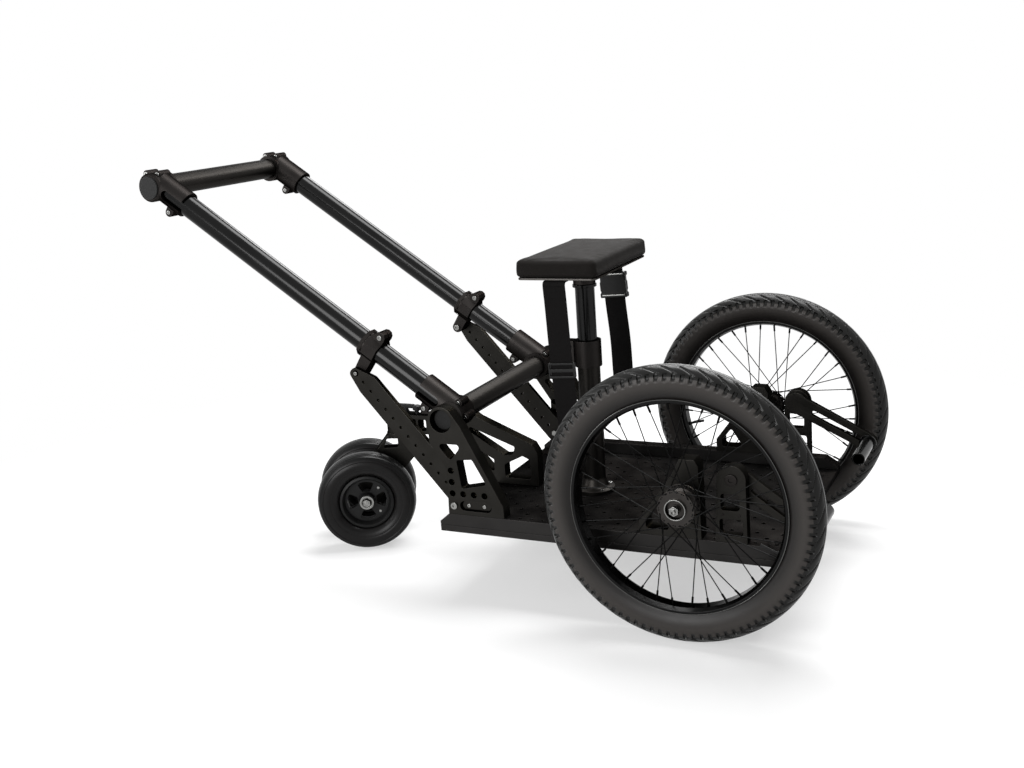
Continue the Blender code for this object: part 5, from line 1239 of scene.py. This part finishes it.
def caster(shape):
    addPiece("swivel_fork", casterFork(shape), "plate", "caster", casterFrame, ["caster_fork"])
    half = shape["wheelY"] + shape["rimHalf"] + shape["axleEnd"]
    nutFoot = half - shape["nutInset"]
    axlePlace = casterFrame @ shift(-shape["trail"], 0, shape["radius"])
    axle = gathered(bothEnds(hexNut(*shape["nut"]), nutFoot)
                    + [rod(shape["bore"] - 0.0003, -nutFoot, nutFoot, 40), rod(0.0050, -half, half, 24)])
    addPiece("caster_axle_bolt", axle, "zinc", "caster", axlePlace @ upright, ["caster_axle"])
    tyreWork, hubWork = casterTyre(shape), casterHub(shape)
    ring = turned(rounded(shape["ring"], 0.0004, 2), 56, closed=True)
    for name, side in sides:
        place = axlePlace @ shift(0, side * shape["wheelY"], 0) @ outboard(side)
        body = f"{name}_caster_wheel"
        addPiece(f"{name}_ribbed_tyre", tyreWork.copy(), "casterRubber", body, place,
                 [f"{name}_caster_tyre"], 40)
        addPiece(f"{name}_windowed_hub", hubWork.copy(), "nylon", body, place, [f"{name}_caster_hub"])
        addPiece(f"{name}_bearings", gathered(bothEnds(ring, shape["rimHalf"])), "zinc", body, place)
        screws = screwRing(*shape["screw"], shape["screwReach"], shape["web"], (45, -45))
        addPiece(f"{name}_hub_screws", gathered(screws), "zinc", body, place)


casterMount(headShape)
caster(casterShape)
print("caster is made")


# Seat post

postShape = {
    "radius": 0.021, "wall": 0.003, "head": 0.026, "headHeight": 0.006, "bottom": 0.290, "top": 0.623,
    "sleeve": 0.0245, "sleeveTop": 0.468, "foot": 0.044, "footScrew": (0.0042, 0.0024, 0.037),
    "collar": 0.0295, "collarBottom": 0.443, "collarTop": 0.501, "lug": 0.018, "lugHalf": 0.015,
    "split": 0.003, "lugScrew": (0.0052, 0.0028), "lugScrewX": 0.010, "lugScrewRise": 0.015,
}
postBore = postShape["radius"] + 0.0004


def postSleeve(shape):
    floorZ, outer, foot, top = layout["floorZ"], shape["sleeve"], shape["foot"], shape["sleeveTop"]
    corners = [(outer, top), (outer, floorZ + 0.030), (outer + 0.006, floorZ + 0.012), (foot, floorZ + 0.008),
               (foot, floorZ), (postBore, floorZ), (postBore, top)]
    return turned(rounded(corners, [0.0006, 0.02, 0.006, 0.001, 0.0006, 0.0004, 0.0006], 4), 64, closed=True)


def postCollar(shape):
    outer, top, bottom = shape["collar"], shape["collarTop"], shape["collarBottom"]
    lower, step = shape["sleeve"] + gap, shape["sleeveTop"] + gap
    ring = turned(rounded([(outer, top), (outer, bottom), (lower, bottom), (lower, step), (postBore, step),
                           (postBore, top)], 0.0006, 2), 64, closed=True)
    height, middle = top - bottom, (top + bottom) / 2
    rear, front = -outer - shape["lug"], -(lower + outer) / 2
    lug = block((front - rear, 2 * shape["lugHalf"], height - 0.004), ((rear + front) / 2, 0, middle), 0.0010)
    split = block((0.05, shape["split"], height + 0.01), (-shape["radius"] - 0.025, 0, middle), 0)
    heads = screwHeads(*shape["lugScrew"], [
        (rear + shape["lugScrewX"], way * shape["lugHalf"], middle + rise * shape["lugScrewRise"], way)
        for way in (-1, 1) for rise in (-1, 1)])
    return carved(ring, [("UNION", lug), ("DIFFERENCE", split)]), heads


def seatPost(shape):
    addPiece("post_socket", postSleeve(shape), "mattTube", "base", seatFrame, ["seat_post_sleeve"])
    addPiece("post_socket_screws", gathered(screwRing(*shape["footScrew"], layout["floorZ"] + 0.0088)),
             "zinc", "base", seatFrame)
    collar, heads = postCollar(shape)
    addPiece("post_collar", collar, "cast", "base", seatFrame, ["seat_post_collar"], 28)
    addPiece("post_collar_screws", heads, "zinc", "base", seatFrame)
    outer, head, top, bottom = (shape[key] for key in ("radius", "head", "top", "bottom"))
    inner, neck = outer - shape["wall"], top - shape["headHeight"]
    post = rounded([(head, top), (head, neck), (outer, neck), (outer, bottom), (inner, bottom), (inner, top)],
                   0.0006, 2)
    addPiece("polished_post", turned(post, 64, closed=True), "tube", "seat_column", seatFrame, ["seat_post"])


def seatPlate(shape):
    halfX, halfY = shape["length"] / 2 - shape["inset"], shape["width"] / 2 - shape["inset"]
    board = cutPlate([rounded(box(-halfX, halfX, -halfY, halfY), shape["plateCorner"])], shape["plate"])
    postTop = postShape["top"]
    hub = turned([(0, plateBottom + 0.001), (0.024, plateBottom + 0.001), (0.024, postTop + 0.0013),
                  (0.023, postTop + gap), (0.012, postTop + gap), (0.012, postTop - 0.018),
                  (0, postTop - 0.018)], 48)
    addPiece("seat_board", board, "bare", "seat", seatFrame @ shift(0, 0, (plateTop + plateBottom) / 2),
             ["seat_plate"])
    addPiece("seat_hub", hub, "cast", "seat", seatFrame)
    addPiece("seat_board_screws", gathered(screwRing(0.0050, 0.0030, 0.033, -plateBottom)), "zinc", "seat",
             seatFrame @ turn(180, "X"))


seatPost(postShape)
seatPlate(seatShape)
print("seat is made")


# Lap belt halves

beltShape = {
    "width": 0.049, "thickness": 0.0024, "turn": 0.008, "lean": 0.06, "sway": 0.006, "rows": 48,
    # each half's length, and how far down it hangs straight
    "hangs": {"right": (0.375, 0.0), "left": (0.290, 0.093)},
    "inset": 0.004, "sewn": 0.0014, "slider": 0.181, "buckle": 0.064,
}
beltY = seatShape["width"] / 2 - beltShape["inset"]
beltZ = plateBottom - gap - beltShape["thickness"] / 2


def beltSway(down, hang):
    length, straight = hang
    share = (down - straight) / (length - straight)
    return beltShape["sway"] * math.sin(math.pi * max(share, 0)) ** 2


def beltPath(hang):
    bend, rows = beltShape["turn"], beltShape["rows"]
    path = [(-0.012, 0.0), (-0.006, 0.0)]
    path += [(y, z - bend) for z, y in arc((0, 0), bend, 0, 90, 10)]
    for step in range(1, rows + 1):
        down = bend + (hang[0] - bend) * step / rows
        path.append((bend + beltSway(down, hang), -down))
    return path


def ribbon(path, thickness, width):
    outer, inner = [], []
    for index, (y, z) in enumerate(path):
        before, after = path[max(index - 1, 0)], path[min(index + 1, len(path) - 1)]
        along = (Vector(after) - Vector(before)).normalized()
        across = Vector((-along.y, along.x)) * thickness / 2
        outer.append((y + across.x, z + across.y))
        inner.append((y - across.x, z - across.y))
    lean = Matrix(((0, -beltShape["lean"], 1, 0), (1, 0, 0, 0), (0, 1, 0, 0), (0, 0, 0, 1)))
    return moved(cutPlate([outer + inner[::-1]], width, 0.0006), lean)


def sewnLayer(hang, first, run, steps, off):
    # webbing folded over and sewn to the strap, from this far down and this far off its middle
    drops = [first + run * step / steps for step in range(steps + 1)]
    return ribbon([(beltShape["turn"] + off + beltSway(down, hang), -down) for down in drops],
                  beltShape["sewn"], beltShape["width"] - 0.001)


def onBelt(name, side, down):
    y = beltY + beltShape["turn"] + beltSway(down, beltShape["hangs"][name])
    return (seatFrame @ shift(beltShape["lean"] * down, side * y, beltZ - down)
            @ turn(-math.degrees(math.atan(beltShape["lean"])), "Y"))


def slider():
    frameLoops = [rounded(box(-0.029, 0.029, -0.016, 0.016), 0.004),
                  rounded(box(-0.0255, 0.0255, 0.0035, 0.0115), 0.001),
                  rounded(box(-0.0255, 0.0255, -0.0115, -0.0035), 0.001)]
    parts = [moved(cutPlate(frameLoops, thickness, edge), shift(0, y, 0) @ upright)
             for y, thickness, edge in ((-0.0030, 0.0030, 0.0008), (0.0032, 0.0022, 0.0006))]
    parts += [block((0.0030, 0.0080, 0.030), (x, 0, 0), 0.0008) for x in (-0.0272, 0.0272)]
    return gathered(parts + [moved(rod(0.0018, -0.0270, 0.0270, 16), shift(0, -0.0026, z) @ turn(90, "Y"))
                             for z in (-0.013, 0.0, 0.013)])


def buckle():
    half = [(0.032, 0.029), (0.032, 0.021), (0.0285, 0.017), (0.0285, 0.010), (0.0310, 0.006),
            (0.0310, -0.012), (0.0290, -0.016), (0.032, -0.020), (0.032, -0.029)]
    outline = rounded(half[::-1] + [(-x, z) for x, z in half], 0.0025, 4)
    shells = [moved(cutPlate([outline], 0.0064, 0.0016), shift(0, y, 0) @ upright) for y in (-0.0048, 0.0048)]
    return gathered(shells + [block((0.0050, 0.0100, 0.050), (x, 0, 0), 0.0010) for x in (-0.0280, 0.0280)])


def belts(shape):
    for name, side in sides:
        hang = shape["hangs"][name]
        place = seatFrame @ mirrors[-side] @ shift(0, beltY, beltZ)
        addPiece(f"{name}_lap_strap", ribbon(beltPath(hang), shape["thickness"], shape["width"]), "webbing",
                 "seat", place, [f"{name}_belt"])
        addPiece(f"{name}_strap_hem", sewnLayer(hang, hang[0] - 0.030, 0.029, 8, -0.0019), "webbing", "seat",
                 place)
        addPiece(f"{name}_strap_fold", sewnLayer(hang, 0.010, 0.022, 6, 0.0020), "webbing", "seat", place)
    addPiece("webbing_slider", slider(), "nylon", "seat", onBelt("right", -1, shape["slider"]),
             ["belt_slider"])
    place = onBelt("left", 1, shape["buckle"])
    addPiece("release_buckle", buckle(), "nylon", "seat", place, ["belt_buckle"])
    bars = [block((0.054, 0.0014, 0.0030), (0, way * 0.0078, z), 0.0005)
            for z in (0.0245, -0.0235) for way in (-1, 1)]
    addPiece("buckle_bars", gathered(bars), "zinc", "seat", place)


belts(beltShape)
print("belts are made")


# Floor, light and camera

stageShape = {"size": 40, "white": "#ffffff", "paint": "#e6e6e6", "glow": 0.50, "fadeFrom": 1.0,
              "fadeTo": 1.9, "world": 0.24}


def emptyTree(owner):
    owner.use_nodes = True
    owner.node_tree.nodes.clear()
    return owner.node_tree


def seenDirectly(tree):
    # 1 for the camera's own rays and for what metal or glass shows, 0 for light that falls on things
    rays = addNode(tree, "ShaderNodeLightPath").outputs
    seen = rays["Is Camera Ray"]
    for ray in ("Is Glossy Ray", "Is Transmission Ray"):
        seen = addNode(tree, "ShaderNodeMath", {"operation": "MAXIMUM"}, {0: seen, 1: rays[ray]}).outputs[0]
    return seen


def whiteFloor(shape):
    # painted near the object, where it keeps the shadow, and fading to plain white farther out
    work = bmesh.new()
    bmesh.ops.create_grid(work, x_segments=1, y_segments=1, size=shape["size"] / 2)
    floor = asObject(work, "floor")
    floor.location.z = -0.0002
    material = bpy.data.materials.new("white painted floor")
    tree = emptyTree(material)
    place = addNode(tree, "ShaderNodeTexCoord").outputs["Object"]
    reach = addNode(tree, "ShaderNodeVectorMath", {"operation": "LENGTH"}, {0: place}).outputs["Value"]
    far = addNode(tree, "ShaderNodeMapRange", {
        "From Min": shape["fadeFrom"], "From Max": shape["fadeTo"], "To Min": shape["glow"],
        "To Max": 1.0}, {"Value": reach}).outputs["Result"]
    share = addNode(tree, "ShaderNodeMath", {"operation": "MULTIPLY"}, {0: seenDirectly(tree), 1: far})
    paint = addNode(tree, "ShaderNodeBsdfDiffuse", {"Color": colour(shape["paint"])})
    light = addNode(tree, "ShaderNodeEmission", {"Color": colour(shape["white"]), "Strength": 1.0})
    mixed = addNode(tree, "ShaderNodeMixShader", {}, {0: share.outputs[0], 1: paint.outputs[0],
                                                      2: light.outputs[0]})
    addNode(tree, "ShaderNodeOutputMaterial", {}, {"Surface": mixed.outputs[0]})
    floor.data.materials.append(material)


def plainWorld(shape):
    world = bpy.data.worlds.new("white studio")
    bpy.context.scene.world = world
    tree = emptyTree(world)
    soft, white = (addNode(tree, "ShaderNodeBackground", {"Color": colour(shape["white"]),
                                                          "Strength": strength}).outputs[0]
                   for strength in (shape["world"], 1.0))
    mixed = addNode(tree, "ShaderNodeMixShader", {}, {0: seenDirectly(tree), 1: soft, 2: white})
    addNode(tree, "ShaderNodeOutputWorld", {}, {"Surface": mixed.outputs[0]})


softboxes = (
    {"name": "overhead softbox", "at": (0.40, 0.50, 2.60), "aim": (0.1, 0.0, 0.30), "long": (1, 0, 0),
     "size": (2.2, 0.95), "watts": 88},
    {"name": "front softbox", "at": (-0.50, -2.75, 1.15), "aim": (-0.1, -0.1, 0.60), "long": (1, 0, 0),
     "size": (1.7, 1.30), "watts": 56},
    {"name": "rear softbox", "at": (0.0, 2.30, 2.10), "aim": (0.0, 0.0, 0.50), "long": (1, 0, 0),
     "size": (2.6, 0.6), "watts": 66},
    {"name": "left softbox", "at": (-2.40, -1.30, 1.30), "aim": (0.0, 0.0, 0.35), "long": (0, 0, 1),
     "size": (1.5, 0.7), "watts": 24},
)


def lamps(boxes):
    for shape in boxes:
        light = bpy.data.lights.new(shape["name"], "AREA")
        light.shape = "RECTANGLE"
        light.size, light.size_y = shape["size"]
        light.energy = shape["watts"]
        lamp = bpy.data.objects.new(shape["name"], light)
        back = (Vector(shape["at"]) - Vector(shape["aim"])).normalized()
        long = Vector(shape["long"])
        long = (long - back * long.dot(back)).normalized()
        facing = Matrix((long, back.cross(long), back)).transposed().to_4x4()
        lamp.matrix_world = Matrix.Translation(shape["at"]) @ facing
        bpy.context.scene.collection.objects.link(lamp)


cameraShape = {"at": (0.682, -2.372, 1.068), "azimuth": 26.41, "elevation": 14.32, "roll": -4.06,
               "focalPixels": 1215.4, "imagePixels": 1024, "sensor": 36}


def photoCamera(shape):
    azimuth, elevation, roll = (math.radians(shape[key]) for key in ("azimuth", "elevation", "roll"))
    back = Vector((math.sin(azimuth) * math.cos(elevation), -math.cos(azimuth) * math.cos(elevation),
                   math.sin(elevation)))
    right = (-back).cross(Vector((0, 0, 1))).normalized()
    up = back.cross(right)
    r = right * math.cos(roll) + up * math.sin(roll)
    u = up * math.cos(roll) - right * math.sin(roll)
    data = bpy.data.cameras.new("photo camera")
    data.sensor_width = shape["sensor"]
    data.lens = shape["focalPixels"] * shape["sensor"] / shape["imagePixels"]
    data.clip_end = 200
    camera = bpy.data.objects.new("photo camera", data)
    facing = Matrix((r, u, back)).transposed().to_4x4()
    camera.matrix_world = Matrix.Translation(baseFrame @ Vector(shape["at"])) @ facing
    bpy.context.scene.collection.objects.link(camera)
    bpy.context.scene.camera = camera


whiteFloor(stageShape)
plainWorld(stageShape)
lamps(softboxes)
photoCamera(cameraShape)
bpy.context.scene.view_settings.view_transform = "Standard"
print("stage is set")
